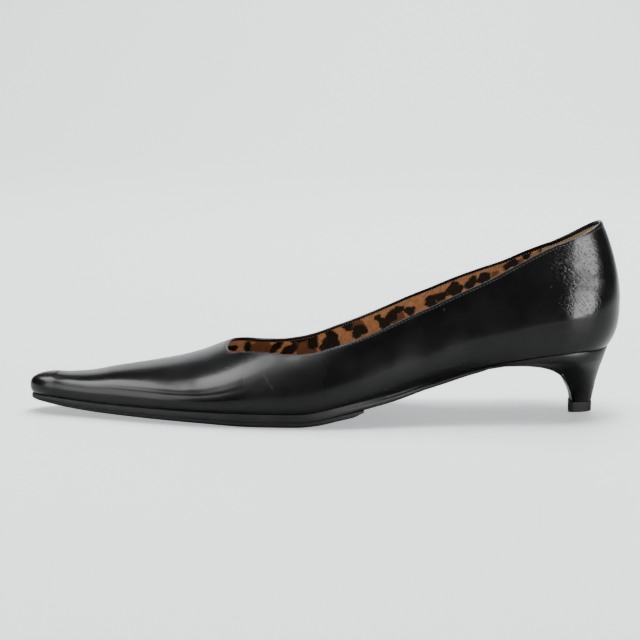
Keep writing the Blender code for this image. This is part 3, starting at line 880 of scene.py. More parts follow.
def leather_grain() -> bpy.types.NodeTree:
    """Pores and fine folds of smooth leather."""

    def build(bench: NodeBench, given: dict, wanted: dict) -> None:
        cells = {"Vector": given["Place"], "Scale": given["Cells"]}
        fine = bench.put("TexVoronoi", cells, feature="DISTANCE_TO_EDGE")
        pebble = bench.ramp(fine.outputs["Distance"], 0.0, 0.35)
        cloud = bench.put("TexNoise", {**cells, "Detail": 3.0})
        height = bench.math("MULTIPLY", pebble, 0.6)
        clouded = bench.math("MULTIPLY", cloud.outputs["Fac"], 0.4)
        bench.feed(wanted["Height"], bench.math("ADD", height, clouded))

    return effect("leather grain", {"Cells": 2000.0}, ["Height"], build)


def crumple() -> bpy.types.NodeTree:
    """Fine crossing wrinkles, where leather bends."""

    def build(bench: NodeBench, given: dict, wanted: dict) -> None:
        waves = []
        for lean, length in ((0.75, 4.0), (-0.85, 2.5)):
            mapped = stretched(bench, given["Place"], (0.1, lean, 0.1), (length, 1.0, 1.0))
            noise = bench.put("TexNoise", {"Vector": mapped, "Scale": given["Folds"], "Detail": 3.0})
            ridge = bench.math("ABSOLUTE", bench.math("SUBTRACT", noise.outputs["Fac"], 0.5))
            waves.append(bench.ramp(ridge, 0.0, 0.12))
        bench.feed(wanted["Height"], bench.math("MULTIPLY", *waves))

    return effect("crumple", {"Folds": 620.0}, ["Height"], build)


def handling() -> bpy.types.NodeTree:
    """Uneven polish: a large cloud, and fine scratches."""

    def build(bench: NodeBench, given: dict, wanted: dict) -> None:
        large = bench.put(
            "TexNoise", {"Vector": given["Place"], "Scale": given["Clouds"], "Detail": 4.0, "Roughness": 0.6}
        )
        bench.feed(wanted["Cloud"], bench.ramp(large.outputs["Fac"], 0.35, 0.68))
        long = stretched(bench, given["Place"], (0.0, -0.35, 0.3), (9.0, 1.0, 1.0))
        lines = bench.put("TexNoise", {"Vector": long, "Scale": 900.0, "Detail": 2.0})
        bench.feed(wanted["Scratch"], bench.ramp(lines.outputs["Fac"], 0.68, 0.80))

    return effect("handling", {"Clouds": 45.0}, ["Cloud", "Scratch"], build)


def principled(name: str) -> tuple[bpy.types.Material, NodeBench, bpy.types.Node]:
    """A new material with its bench and its shader."""
    made = bpy.data.materials.new(name)
    made.use_nodes = True
    return made, NodeBench(made.node_tree), made.node_tree.nodes["Principled BSDF"]


@dataclass(frozen=True)
class LeatherFinish:
    """Smooth leather with its grain, polish, scuffs and wrinkles."""

    name: str
    colour: Colour
    worn: Colour
    roughness: float
    dull: float
    cells: float = 2000.0
    grain: float = 0.00002
    wrinkle: float = 0.0
    coat: float = 0.0
    coat_roughness: float = 0.1
    spread: float = 0.08
    clouding: float = 0.15
    gloss: float = 0.5
    flexed: float = 0.14

    def make(self) -> bpy.types.Material:
        """Builds the material."""
        made, bench, shader = principled(self.name)
        place = bench.place()
        grain = bench.put("Group", {"Place": place, "Cells": self.cells}, node_tree=leather_grain())
        polish = bench.put("Group", {"Place": place}, node_tree=handling())
        broken = bench.swing(bench.noise(place, 700.0, 4.0), 1.4)
        scuff = bench.ramp(bench.math("ADD", bench.attribute("scuff"), broken), 0.35, 0.9)
        worn = bench.math("MAXIMUM", scuff, bench.math("MULTIPLY", polish.outputs["Scratch"], 0.25))
        cloud = bench.math("MULTIPLY", polish.outputs["Cloud"], self.clouding)
        tinted = bench.blend(cloud, self.colour, self.worn)
        shown = bench.blend(bench.math("MULTIPLY", worn, 0.6), tinted, self.worn)
        bench.feed(shader.inputs["Base Color"], shown)
        clouded = bench.math("MULTIPLY", polish.outputs["Cloud"], self.spread)
        rough = bench.math("ADD", self.roughness, clouded)
        flexed = bench.ramp(bench.attribute("flexed"), 0.0, 1.0)
        rough = bench.math("ADD", rough, bench.math("MULTIPLY", flexed, self.flexed))
        worn_rough = bench.math("MULTIPLY", worn, self.dull - self.roughness)
        rough = bench.math("ADD", rough, worn_rough, clamp=True)
        bench.feed(shader.inputs["Roughness"], rough)
        shader.inputs["Specular IOR Level"].default_value = self.gloss
        shader.inputs["Coat Weight"].default_value = self.coat
        shader.inputs["Coat Roughness"].default_value = self.coat_roughness
        normal = bench.bump(grain.outputs["Height"], self.grain)
        if self.wrinkle:
            folds = bench.put("Group", {"Place": place}, node_tree=crumple())
            height = bench.math("MULTIPLY", folds.outputs["Height"], bench.attribute("crumple"))
            normal = bench.put(
                "Bump", {"Height": height, "Distance": self.wrinkle, "Strength": 1.0, "Normal": normal}
            ).outputs[0]
        bench.feed(shader.inputs["Normal"], normal)
        return made


@dataclass(frozen=True)
class RubberFinish:
    """Moulded rubber with a fine pebble and dust in it."""

    name: str
    colour: Colour
    dust: Colour
    roughness: float = 0.55
    cells: float = 1400.0
    relief: float = 0.00005

    def make(self) -> bpy.types.Material:
        """Builds the material."""
        made, bench, shader = principled(self.name)
        place = bench.place()
        grain = bench.put("Group", {"Place": place, "Cells": self.cells}, node_tree=leather_grain())
        polish = bench.put("Group", {"Place": place}, node_tree=handling())
        dusty = bench.math("MULTIPLY", polish.outputs["Cloud"], 0.45)
        bench.feed(shader.inputs["Base Color"], bench.blend(dusty, self.colour, self.dust))
        rough = bench.math("MULTIPLY", polish.outputs["Cloud"], 0.15)
        bench.feed(shader.inputs["Roughness"], bench.math("ADD", self.roughness, rough))
        shader.inputs["Specular IOR Level"].default_value = 0.15
        bench.feed(shader.inputs["Normal"], bench.bump(grain.outputs["Height"], self.relief))
        return made


@dataclass(frozen=True)
class CalfHairFinish:
    """Short calf hair printed with black spots and brown hearts."""

    name: str
    ground: Colour
    light: Colour
    brown: Colour
    black: Colour
    nap: float = 0.00025

    def make(self) -> bpy.types.Material:
        """Builds the material."""
        made, bench, shader = principled(self.name)
        place = bench.place()
        laid = stretched(bench, place, (0.0, -1.15, 0.0), (4.5, 1.0, 1.0))
        hair = bench.noise(laid, 3800.0, 3.0)
        tuft = bench.noise(laid, 800.0, 3.0)
        ragged = bench.math("ADD", bench.swing(hair, 2.6), bench.swing(tuft, 2.4))
        black = bench.ramp(bench.math("ADD", bench.attribute("spot"), ragged), -0.12, 0.18)
        brown = bench.ramp(bench.math("ADD", bench.attribute("heart"), ragged), -0.30, 0.50)
        ground = bench.blend(bench.ramp(tuft, 0.35, 0.65), self.ground, self.light)
        streaks = bench.math("MULTIPLY", bench.ramp(hair, 0.52, 0.75), 0.45)
        ground = bench.blend(streaks, ground, self.brown)
        colour = bench.blend(bench.math("MULTIPLY", brown, 0.85), ground, self.brown)
        bench.feed(shader.inputs["Base Color"], bench.blend(black, colour, self.black))
        bench.feed(shader.inputs["Roughness"], bench.ramp(hair, 0.3, 0.7, 0.42, 0.68))
        shader.inputs["Specular IOR Level"].default_value = 0.3
        shader.inputs["Sheen Weight"].default_value = 0.06
        shader.inputs["Sheen Roughness"].default_value = 0.4
        height = bench.math("ADD", hair, bench.math("MULTIPLY", tuft, 0.6))
        bench.feed(shader.inputs["Normal"], bench.bump(height, self.nap, 0.8))
        return made


@dataclass(frozen=True)
class ThreadFinish:
    """Twisted sewing thread."""

    name: str
    colour: Colour
    roughness: float = 0.5
    relief: float = 0.00008

    def make(self) -> bpy.types.Material:
        """Builds the material."""
        made, bench, shader = principled(self.name)
        place = bench.place()
        ply = bench.noise(place, 5200.0, 2.0)
        darker = tuple(0.6 * part for part in self.colour)
        shown = bench.blend(bench.ramp(ply, 0.4, 0.6), darker, self.colour)
        bench.feed(shader.inputs["Base Color"], shown)
        rough = bench.ramp(ply, 0.3, 0.7, self.roughness, self.roughness + 0.2)
        bench.feed(shader.inputs["Roughness"], rough)
        bench.feed(shader.inputs["Normal"], bench.bump(ply, self.relief, 0.7))
        return made


@dataclass
class Rim:
    """The topline of the skin: its points with the directions out of the leather and past its edge."""

    points: np.ndarray
    normals: np.ndarray
    ups: np.ndarray

    @classmethod
    def along(cls, verts: Sequence[bmesh.types.BMVert], smoothing: int = 6) -> "Rim":
        """Reads the frame of each vertex of the topline, in order round it."""
        points = np.array([vert.co for vert in verts])
        normals = np.array([vert.normal for vert in verts])
        tangents = np.roll(points, -1, 0) - np.roll(points, 1, 0)
        tangents = tangents / np.linalg.norm(tangents, axis=1)[:, None]
        for _ in range(smoothing):
            normals = (np.roll(normals, -1, 0) + 2 * normals + np.roll(normals, 1, 0)) / 4
        normals = normals - tangents * np.sum(normals * tangents, axis=1)[:, None]
        normals = normals / np.linalg.norm(normals, axis=1)[:, None]
        ups = np.cross(tangents, normals)
        heel = int(np.argmax(points[:, 0]))
        if ups[heel, 2] < 0:
            ups = -ups
        return cls(points, normals, ups)

    def row(self, pitch: float, up: float | np.ndarray, out: float) -> list[Matrix]:
        """Frames at an even pitch along the topline.

        Args:
            pitch: Distance from one to the next.
            up: How far past the edge they stand, or below it if negative.
            out: How far out of the leather they stand.

        Returns:
            For each one a matrix whose x runs along the topline and whose z points out of the leather.
        """
        places = self.points + self.ups * up + self.normals * out
        steps = np.linalg.norm(np.roll(places, -1, 0) - places, axis=1)
        reach = np.concatenate([[0.0], np.cumsum(steps)])
        count = int(reach[-1] / pitch)
        frames = []
        for i in range(count):
            at = (i + 0.5) * reach[-1] / count
            k = int(np.searchsorted(reach, at)) - 1
            share = (at - reach[k]) / max(steps[k], 1e-9)
            nxt = (k + 1) % len(places)
            place = places[k] * (1 - share) + places[nxt] * share
            along = Vector(places[nxt] - places[k]).normalized()
            normal = Vector(self.normals[k]).normalized()
            across = normal.cross(along).normalized()
            frames.append(Matrix((
                (along.x, across.x, normal.x, place[0]),
                (along.y, across.y, normal.y, place[1]),
                (along.z, across.z, normal.z, place[2]),
                (0.0, 0.0, 0.0, 1.0),
            )))
        return frames


@dataclass
class Upper:
    """The black calf upper: skin with its folded edge and creases, and the stitches of the topline."""

    last: Last
    finish: bpy.types.Material
    thread: bpy.types.Material
    pale_thread: bpy.types.Material
    skin: float = 0.00045
    fold: float = 0.00070
    margin: float = 0.0060
    toe: int = 22
    vamp: int = 84
    quarter: int = 180
    heel: int = 36
    under_rows: int = 12
    wall_rows: int = 44
    fold_rows: int = 8
    stitch_pitch: float = 0.00165
    inner_pitch: float = 0.00130

    def build(self) -> None:
        """Builds the skin and its stitches."""
        shape = self.laid_skin()
        self.press_creases(shape)
        rim = self.fold_edge(shape)
        upper = finished("upper_skin", shape, self.finish, ["upper"], 50.0)
        add_wall(upper, self.skin)
        self.mark(upper)
        log.info("upper_skin: %d vertices", len(upper.data.vertices))
        outer = rim.row(self.stitch_pitch, -0.0008, 0.00006)
        self.sewn("topline_stitches", outer, self.thread, (0.00052, 0.00017, 0.00010))
        inner_edge = -self.band(rim.points)[:, None] + 0.0002
        inner = rim.row(self.inner_pitch, inner_edge, -2 * self.fold - 0.00005)
        self.sewn("band_stitches", inner, self.pale_thread, (0.00036, 0.00019, 0.00014))

    def laid_skin(self) -> bmesh.types.BMesh:
        """The skin over the last, up to where its edge folds over."""
        columns = self.last.columns(self.toe, self.vamp, self.quarter, self.heel, self.fold)
        under = np.linspace(0, 1, self.under_rows + 1)
        levels = np.concatenate([under, 1 + np.linspace(0, 1, self.wall_rows + 1)[1:]])
        wall = self.last.skin(columns, levels)
        turned = [self.last.margin(columns, self.margin * share)[:, None] for share in (1.0, 0.5, 0.12)]
        shape = sheet_over(np.concatenate([*turned, wall], axis=1))
        turn_outwards(shape, SHOE_MIDDLE)
        first = self.toe + self.vamp
        count = len(columns.foot)
        self.top = wall[first:count - first, -1]
        return shape

    def press_creases(self, shape: bmesh.types.BMesh) -> None:
        """Presses each crease of the table into the skin as a trough between two soft ridges."""
        verts = list(shape.verts)
        points = np.array([vert.co for vert in verts])
        normals = np.array([vert.normal for vert in verts])
        x, z = (points[:, 0] - self.last.origin[0]) / MM, points[:, 2] / MM
        pressed = np.zeros(len(verts))
        for crease in CREASES:
            run = np.array([crease.x_end - crease.x_start, crease.z_end - crease.z_start])
            length = float(np.hypot(*run))
            run = run / length
            along = (x - crease.x_start) * run[0] + (z - crease.z_start) * run[1]
            away = np.abs((z - crease.z_start) * run[0] - (x - crease.x_start) * run[1])
            away = away + 0.35 * np.sin(along * 0.9)
            taper = ease(along / (0.35 * length)) * ease((length - along) / (0.35 * length))
            trough = np.exp(-(away / (0.45 * crease.width)) ** 2)
            ridge = np.exp(-((away - crease.width) / (0.6 * crease.width)) ** 2)
            on_side = normals[:, 1] * crease.side > 0.1
            pressed += on_side * taper * crease.depth * MM * (0.4 * ridge - trough)
        for vert, depth in zip(verts, pressed):
            vert.co += vert.normal * depth
        shape.normal_update()

    def band(self, points: np.ndarray) -> np.ndarray:
        """Width of the band inside the topline at each of its points."""
        return Curve(BAND, {"width": MM}, "x")((points[:, 0] - self.last.origin[0]) / MM)

    def fold_edge(self, shape: bmesh.types.BMesh) -> Rim:
        """Folds the topline over and down the inside, row by row.

        Args:
            shape: The skin, which grows by the folded edge.

        Returns:
            The topline's frames, from before the fold.
        """
        tree = KDTree(len(shape.verts))
        shape.verts.ensure_lookup_table()
        for vert in shape.verts:
            tree.insert(vert.co, vert.index)
        tree.balance()
        loop: list[bmesh.types.BMVert] = []
        for point in self.top:
            vert = shape.verts[tree.find(point)[1]]
            if vert not in loop[-1:] and vert not in loop[:1]:
                loop.append(vert)
        rim = Rim.along(loop)
        centre = rim.points - rim.normals * self.fold
        places = []
        for i in range(1, self.fold_rows + 1):
            turn = math.pi * i / self.fold_rows
            places.append(centre + self.fold * (rim.normals * math.cos(turn) + rim.ups * math.sin(turn)))
        for share in (0.25, 0.6, 0.9, 1.0):
            lift = 0.0001 if share == 1.0 else 0.0
            down = self.band(rim.points)[:, None] * share
            places.append(centre - rim.normals * (self.fold - lift) - rim.ups * down)
        for ring in places:
            pairs = zip(loop, loop[1:] + loop[:1])
            edges = [shape.edges.get(pair) for pair in pairs]
            grown = bmesh.ops.extrude_edge_only(shape, edges=edges)["geom"]
            fresh = {item for item in grown if isinstance(item, bmesh.types.BMVert)}
            after = []
            for vert, place in zip(loop, ring):
                others = (edge.other_vert(vert) for edge in vert.link_edges)
                new = next(other for other in others if other in fresh)
                new.co = place
                after.append(new)
            loop = after
        bmesh.ops.recalc_face_normals(shape, faces=shape.faces)
        turn_outwards(shape, SHOE_MIDDLE)
        return rim

    def mark(self, upper: bpy.types.Object) -> None:
        """Stores where the skin is scuffed, where it wrinkles and where it is dull from bending."""
        surface = Surface(upper)
        for name, rows in (("scuff", SCUFFS), ("crumple", CRUMPLED), ("flexed", DULLED)):
            values = np.zeros(len(surface.points))
            for row in rows:
                middle = surface.nearest(row.side, row.x, row.z, self.last.origin[0])
                reach, _ = surface.polar(middle, row.length, row.width, row.tilt)
                inside = np.clip(PATCH_REACH - reach, 0, 1)
                values = np.maximum(values, ease(inside) if rows is DULLED else inside)
            surface.store(name, values)

    def sewn(
        self, name: str, frames: list[Matrix], thread: bpy.types.Material, size: Sequence[float]
    ) -> None:
        """A row of stitches.

        Args:
            name: The piece's name.
            frames: Where each stitch lies.
            thread: Its material.
            size: Half its length, width and height.
        """
        shape = bmesh.new()
        for place in frames:
            bmesh.ops.create_uvsphere(
                shape, u_segments=8, v_segments=5, radius=1.0, matrix=place @ Matrix.Diagonal((*size, 1.0))
            )
        bmesh.ops.recalc_face_normals(shape, faces=shape.faces)
        finished(name, shape, thread)
        log.info("%s: %d stitches", name, len(frames))


@dataclass
class Lining:
    """Spotted calf hair from the vamp to the quarters, and a smooth leather piece at the heel."""

    last: Last
    hair: bpy.types.Material
    leather: bpy.types.Material
    depth: float = 0.00060
    thickness: float = 0.00035
    heel_thickness: float = 0.00022
    inset: float = 0.0009
    front: float = 0.21
    heel_start: float = 0.895
    seed: int = 7
    tries: int = 900
    spacing: float = 9.2
    edge: float = 1.5
    chart: tuple[float, float] = (86.0, 236.0)
    chart_level: float = 16.0
    chart_bend: float = 120.0
    chart_rise: float = 0.33

    def build(self) -> None:
        """Builds both linings."""
        levels = np.concatenate([np.linspace(0.03, 1, 14), 1 + np.linspace(0, 1, 46)[1:]])
        columns = self.last.columns(4, 60, 190, 40, self.inset).between(self.front, 0.935)
        for side, name in ((LATERAL, "lining_outer_side"), (MEDIAL, "lining_inner_side")):
            half = Columns(*(values[columns.side == side] for values in columns))
            shape = sheet_over(self.last.skin(half, levels))
            turn_outwards(shape, SHOE_MIDDLE)
            sink(shape, self.depth)
            lining = finished(name, shape, self.hair)
            self.print_spots(lining, side)
            add_wall(lining, self.thickness)
            log.info("%s: %d vertices", name, len(lining.data.vertices))
        columns = self.last.columns(4, 30, 160, 40, self.inset).between(self.heel_start, 1.0)
        shape = sheet_over(self.last.skin(columns, levels))
        turn_outwards(shape, SHOE_MIDDLE)
        sink(shape, self.depth + self.thickness)
        heel = finished("heel_lining", shape, self.leather)
        add_wall(heel, self.heel_thickness)
        log.info("heel_lining: %d vertices", len(heel.data.vertices))

    def print_spots(self, lining: bpy.types.Object, side: float) -> None:
        """Stores the print: how deep each point lies in a black spot and in a brown heart.

        Args:
            lining: The hide.
            side: Which side of the shoe it lines. The inner side has the spots of the table.
        """
        surface = Surface(lining)
        black = np.full(len(surface.points), -self.edge)
        brown = black.copy()
        chance = random.Random(self.seed + int(side))
        spots = []
        if side == MEDIAL:
            for row in INNER_SPOTS:
                middle = surface.nearest(side, row.x, row.z, self.last.origin[0])
                spots.append((middle, row.kind, row.length, row.width, row.tilt))
        taken = [surface.points[spot[0]] for spot in spots]
        for _ in range(self.tries):
            middle = chance.randrange(len(surface.points))
            length, width = chance.uniform(6.5, 11.5), chance.uniform(4.5, 7.0)
            tilt, kind = chance.uniform(-50, 60), chance.random()
            place = surface.points[middle]
            near = min((float(np.linalg.norm(place - other)) for other in taken), default=1.0)
            if near < self.spacing * MM or (side == MEDIAL and self.in_chart(place)):
                continue
            taken.append(place)
            if kind < 0.55:
                spots.append((middle, Spot.BROWN, length * 1.05, width * 1.2, tilt))
                for along, longer, wider, turned in ((2.6, 0.75, 0.62, 70), (-2.8, 0.7, 0.5, 95)):
                    beside = self.shifted(surface, middle, along, tilt)
                    spots.append((beside, Spot.BLACK, length * longer, width * wider, tilt + turned))
            else:
                spots.append((middle, Spot.BLACK, length, width, tilt))
        for middle, kind, length, width, tilt in spots:
            reach, turn = surface.polar(middle, length, width, tilt)
            lobes = sum(
                size * np.sin(count * turn + chance.uniform(0, 6.3))
                for count, size in ((2, 0.10), (3, 0.10), (4, 0.06), (5, 0.04))
            )
            inside = np.clip((1 + lobes - reach) * 0.5 * min(length, width), -self.edge, self.edge)
            if kind is Spot.BLACK:
                black = np.maximum(black, inside)
            else:
                brown = np.maximum(brown, inside)
        surface.store("spot", black)
        surface.store("heart", brown)

    def in_chart(self, place: np.ndarray) -> bool:
        """Whether a place on the inner side lies where the table already gives the print."""
        x = (place[0] - self.last.origin[0]) / MM
        level = self.chart_level + self.chart_rise * max(0.0, x - self.chart_bend)
        return self.chart[0] < x < self.chart[1] and place[2] / MM > level

    def shifted(self, surface: Surface, middle: int, along: float, tilt: float) -> int:
        """The vertex some millimetres from another, along a tilted line."""
        move = np.array([math.cos(math.radians(tilt)), 0.0, math.sin(math.radians(tilt))]) * along * MM
        return int(np.argmin(np.linalg.norm(surface.points - surface.points[middle] - move, axis=1)))


class OutlineRow(NamedTuple):
    """A corner of a sole's cross-section: place across, inset from the edge in metres, depth as a share."""

    across: float
    inset: float
    depth: float


def edge_outline(rounding: float, top: float, belly: float) -> list[OutlineRow]:
    """The cross-section of a sole layer, once round from the middle of its top.

    Args:
        rounding: Inset of the lower edge's rounding.
        top: Inset of the upper edge.
        belly: How far the edge swells between the two.
    """
    half = [
        OutlineRow(0.0, 0.0, 0.0),
        OutlineRow(0.6, 0.0, 0.0),
        OutlineRow(1.0, top + belly, 0.0),
        OutlineRow(1.0, 0.8 * top + 0.6 * belly, 0.28),
        OutlineRow(1.0, 0.3 * belly, 0.38),
        OutlineRow(1.0, 0.0, 0.45),
        OutlineRow(1.0, 0.2 * belly, 0.65),
        OutlineRow(1.0, 0.15 * rounding + 0.5 * belly, 0.82),
        OutlineRow(1.0, 0.45 * rounding + belly, 0.94),
        OutlineRow(1.0, rounding + belly, 1.0),
        OutlineRow(0.8, 0.001, 1.0),
        OutlineRow(0.4, 0.0, 1.0),
    ]
    other = [OutlineRow(-row.across, row.inset, row.depth) for row in half[:0:-1]]
    return [*half, OutlineRow(0.0, 0.0, 1.0), *other, half[0]]


def swept_layer(
    last: Last, top: np.ndarray, bottom: np.ndarray, widths: np.ndarray, outline: Sequence[OutlineRow],
    swell: np.ndarray | float = 1.0,
) -> bmesh.types.BMesh:
    """A layer swept along the shoe between two paths.

    Args:
        last: The last that it lies under.
        top: Upper path as x and z.
        bottom: Lower path as x and z.
        widths: Outer and inner half width at each point of the path.
        outline: The cross-section.
        swell: How much larger the insets of the cross-section are at each point of the path.
    """
    rows = []
    for row in outline:
        half = widths[:, 0 if row.across < 0 else 1]
        y = row.across * (half - np.minimum(row.inset * swell, 0.5 * half))
        x, z = ((top + (bottom - top) * row.depth)).T
        rows.append(last.placed(x, y, z))
    shape = sheet_over(np.stack(rows, axis=1))
    close_ends(shape)
    return shape


@dataclass
class Soles:
    """The leather outsole with the flap down the heel's breast, the rubber half sole, and the sock inside."""

    last: Last
    heel: "Heel"
    leather: bpy.types.Material
    rubber: bpy.types.Material
    sock_leather: bpy.types.Material
    half_sole_end: float = 0.5716
    half_sole_inset: float = 0.0001
    tip_run: float = 0.009
    flap_thickness: float = 0.0010
    flap_inset: float = 0.0009
    rounding: float = 0.0006
    upper_wall: float = 0.0016
    insole_thickness: float = 0.0020
    steps: int = 150

    def build(self) -> None:
        """Builds the three layers."""
        self.build_outsole()
        self.build_half_sole()
        self.build_sock()

    def stations(self, end: float) -> np.ndarray:
        """Stations along the sole, close together round the toe tip."""
        turns = np.linspace(math.radians(6), math.pi / 2, 18)
        tip = self.last.toe_pivot * (1 - np.cos(turns))
        return np.concatenate([tip, np.linspace(self.last.toe_pivot, end, int(self.steps * end))[1:]])

    def path(self, stations: np.ndarray) -> np.ndarray:
        """The soles' uppermost path, as x and z."""
        x = stations * self.last.sole_length
        proud = self.last.toe_proud * np.clip(1 - stations / self.last.toe_pivot, 0, 1)
        return np.stack([x - proud, self.last.seat_under(x)], axis=1)

    def below(self, path: np.ndarray, distance: np.ndarray | float) -> np.ndarray:
        """A path moved down, square to its own run."""
        run = np.gradient(path, axis=0)
        run = run / np.linalg.norm(run, axis=1)[:, None]
        down = np.stack([run[:, 1], -run[:, 0]], axis=1)
        return path + down * np.broadcast_to(distance, (len(path),))[:, None]

    def widths(self, stations: np.ndarray, inset: np.ndarray | float) -> np.ndarray:
        """Half widths of a layer, inset from the feather line."""
        inset = inset * self.last.end_cap(stations)
        return np.stack([self.last.half_width(stations, side) - inset for side in (LATERAL, MEDIAL)], axis=1)

    def build_outsole(self) -> None:
        """Leather sole along the shoe and down the breast of the heel."""
        last, heel = self.last, self.heel
        stations = self.stations(heel.lip_x / last.sole_length)
        stations = stations[stations * last.sole_length < heel.lip_x - 0.002]
        thickness = Curve(EDGE, {"outsole": last.outsole})(stations)
        inset = Curve(EDGE, {"inset": last.waist_inset})(stations)
        numbers = np.linspace(1, len(HEEL_RINGS), 40)
        lip = np.array([[heel.lip_x, float(last.seat_under(heel.lip_x)) - heel.lip]])
        breast = self.below(np.concatenate([lip, heel.front(numbers)]), last.seam_gap)[1:]
        top = np.concatenate([self.path(stations), breast])
        thickness = np.concatenate([thickness, np.full(len(numbers), self.flap_thickness)])
        breast = np.stack([heel.breast_width(numbers, side) for side in (LATERAL, MEDIAL)], axis=1)
        widths = np.concatenate([self.widths(stations, inset), breast - self.flap_inset])
        bottom = self.below(top, thickness)
        top[-1, 1] = heel.foot_level
        bottom[-1] = (top[-1, 0] - self.flap_thickness, heel.foot_level)
        waist = np.clip(inset / last.waist_inset, 0, 1)
        swell = np.concatenate([0.3 + 3.2 * waist, np.ones(len(numbers))])
        shape = swept_layer(last, top, bottom, widths, edge_outline(self.rounding, 0.0004, 0.0001), swell)
        piece = finished("outsole_leather", shape, self.leather, ["outsole"], 50.0)
        log.info("outsole_leather: %d vertices", len(piece.data.vertices))

    def build_half_sole(self) -> None:
        """Rubber layer under the forepart, with a small step at its end."""
        last = self.last
        stations = self.stations(self.half_sole_end)
        inset = Curve(EDGE, {"inset": last.waist_inset})(stations) + self.half_sole_inset
        high = self.below(self.path(stations), Curve(EDGE, {"outsole": last.outsole})(stations))
        high = self.below(high, 0.05 * last.seam_gap)
        thickness = 0.95 * last.seam_gap + Curve(EDGE, {"half_sole": last.half_sole})(stations)
        tip = np.clip(stations * last.sole_length / self.tip_run, 0, 1)
        low = self.below(high, thickness * (0.25 + 0.75 * np.sqrt(1 - (1 - tip) ** 2)))
        outline = edge_outline(0.0005, 0.00004, 0.00003)
        shape = swept_layer(last, high, low, self.widths(stations, inset), outline)
        piece = finished("half_sole_rubber", shape, self.rubber, ["half_sole"], 50.0)
        log.info("half_sole_rubber: %d vertices", len(piece.data.vertices))

    def build_sock(self) -> None:
        """Insole with its sock, on the lasting margin."""
        last = self.last
        inset = self.upper_wall + 2 * last.seam_gap
        length = last.sole_length - 2.5 * inset
        stations = (1 - np.cos(math.pi * np.arange(1, 120) / 120)) / 2
        x = 1.3 * inset + stations * length
        level = last.feather_height(x / last.sole_length) + self.upper_wall + last.seam_gap
        low = np.stack([x, level], axis=1)
        high = low + np.array([0.0, self.insole_thickness])
        outline = edge_outline(0.0002, 0.0005, 0.0001)
        shape = swept_layer(last, high, low, self.widths(stations, inset), outline)
        piece = finished("sock", shape, self.sock_leather, ["insole"], 50.0)
        log.info("sock: %d vertices", len(piece.data.vertices))


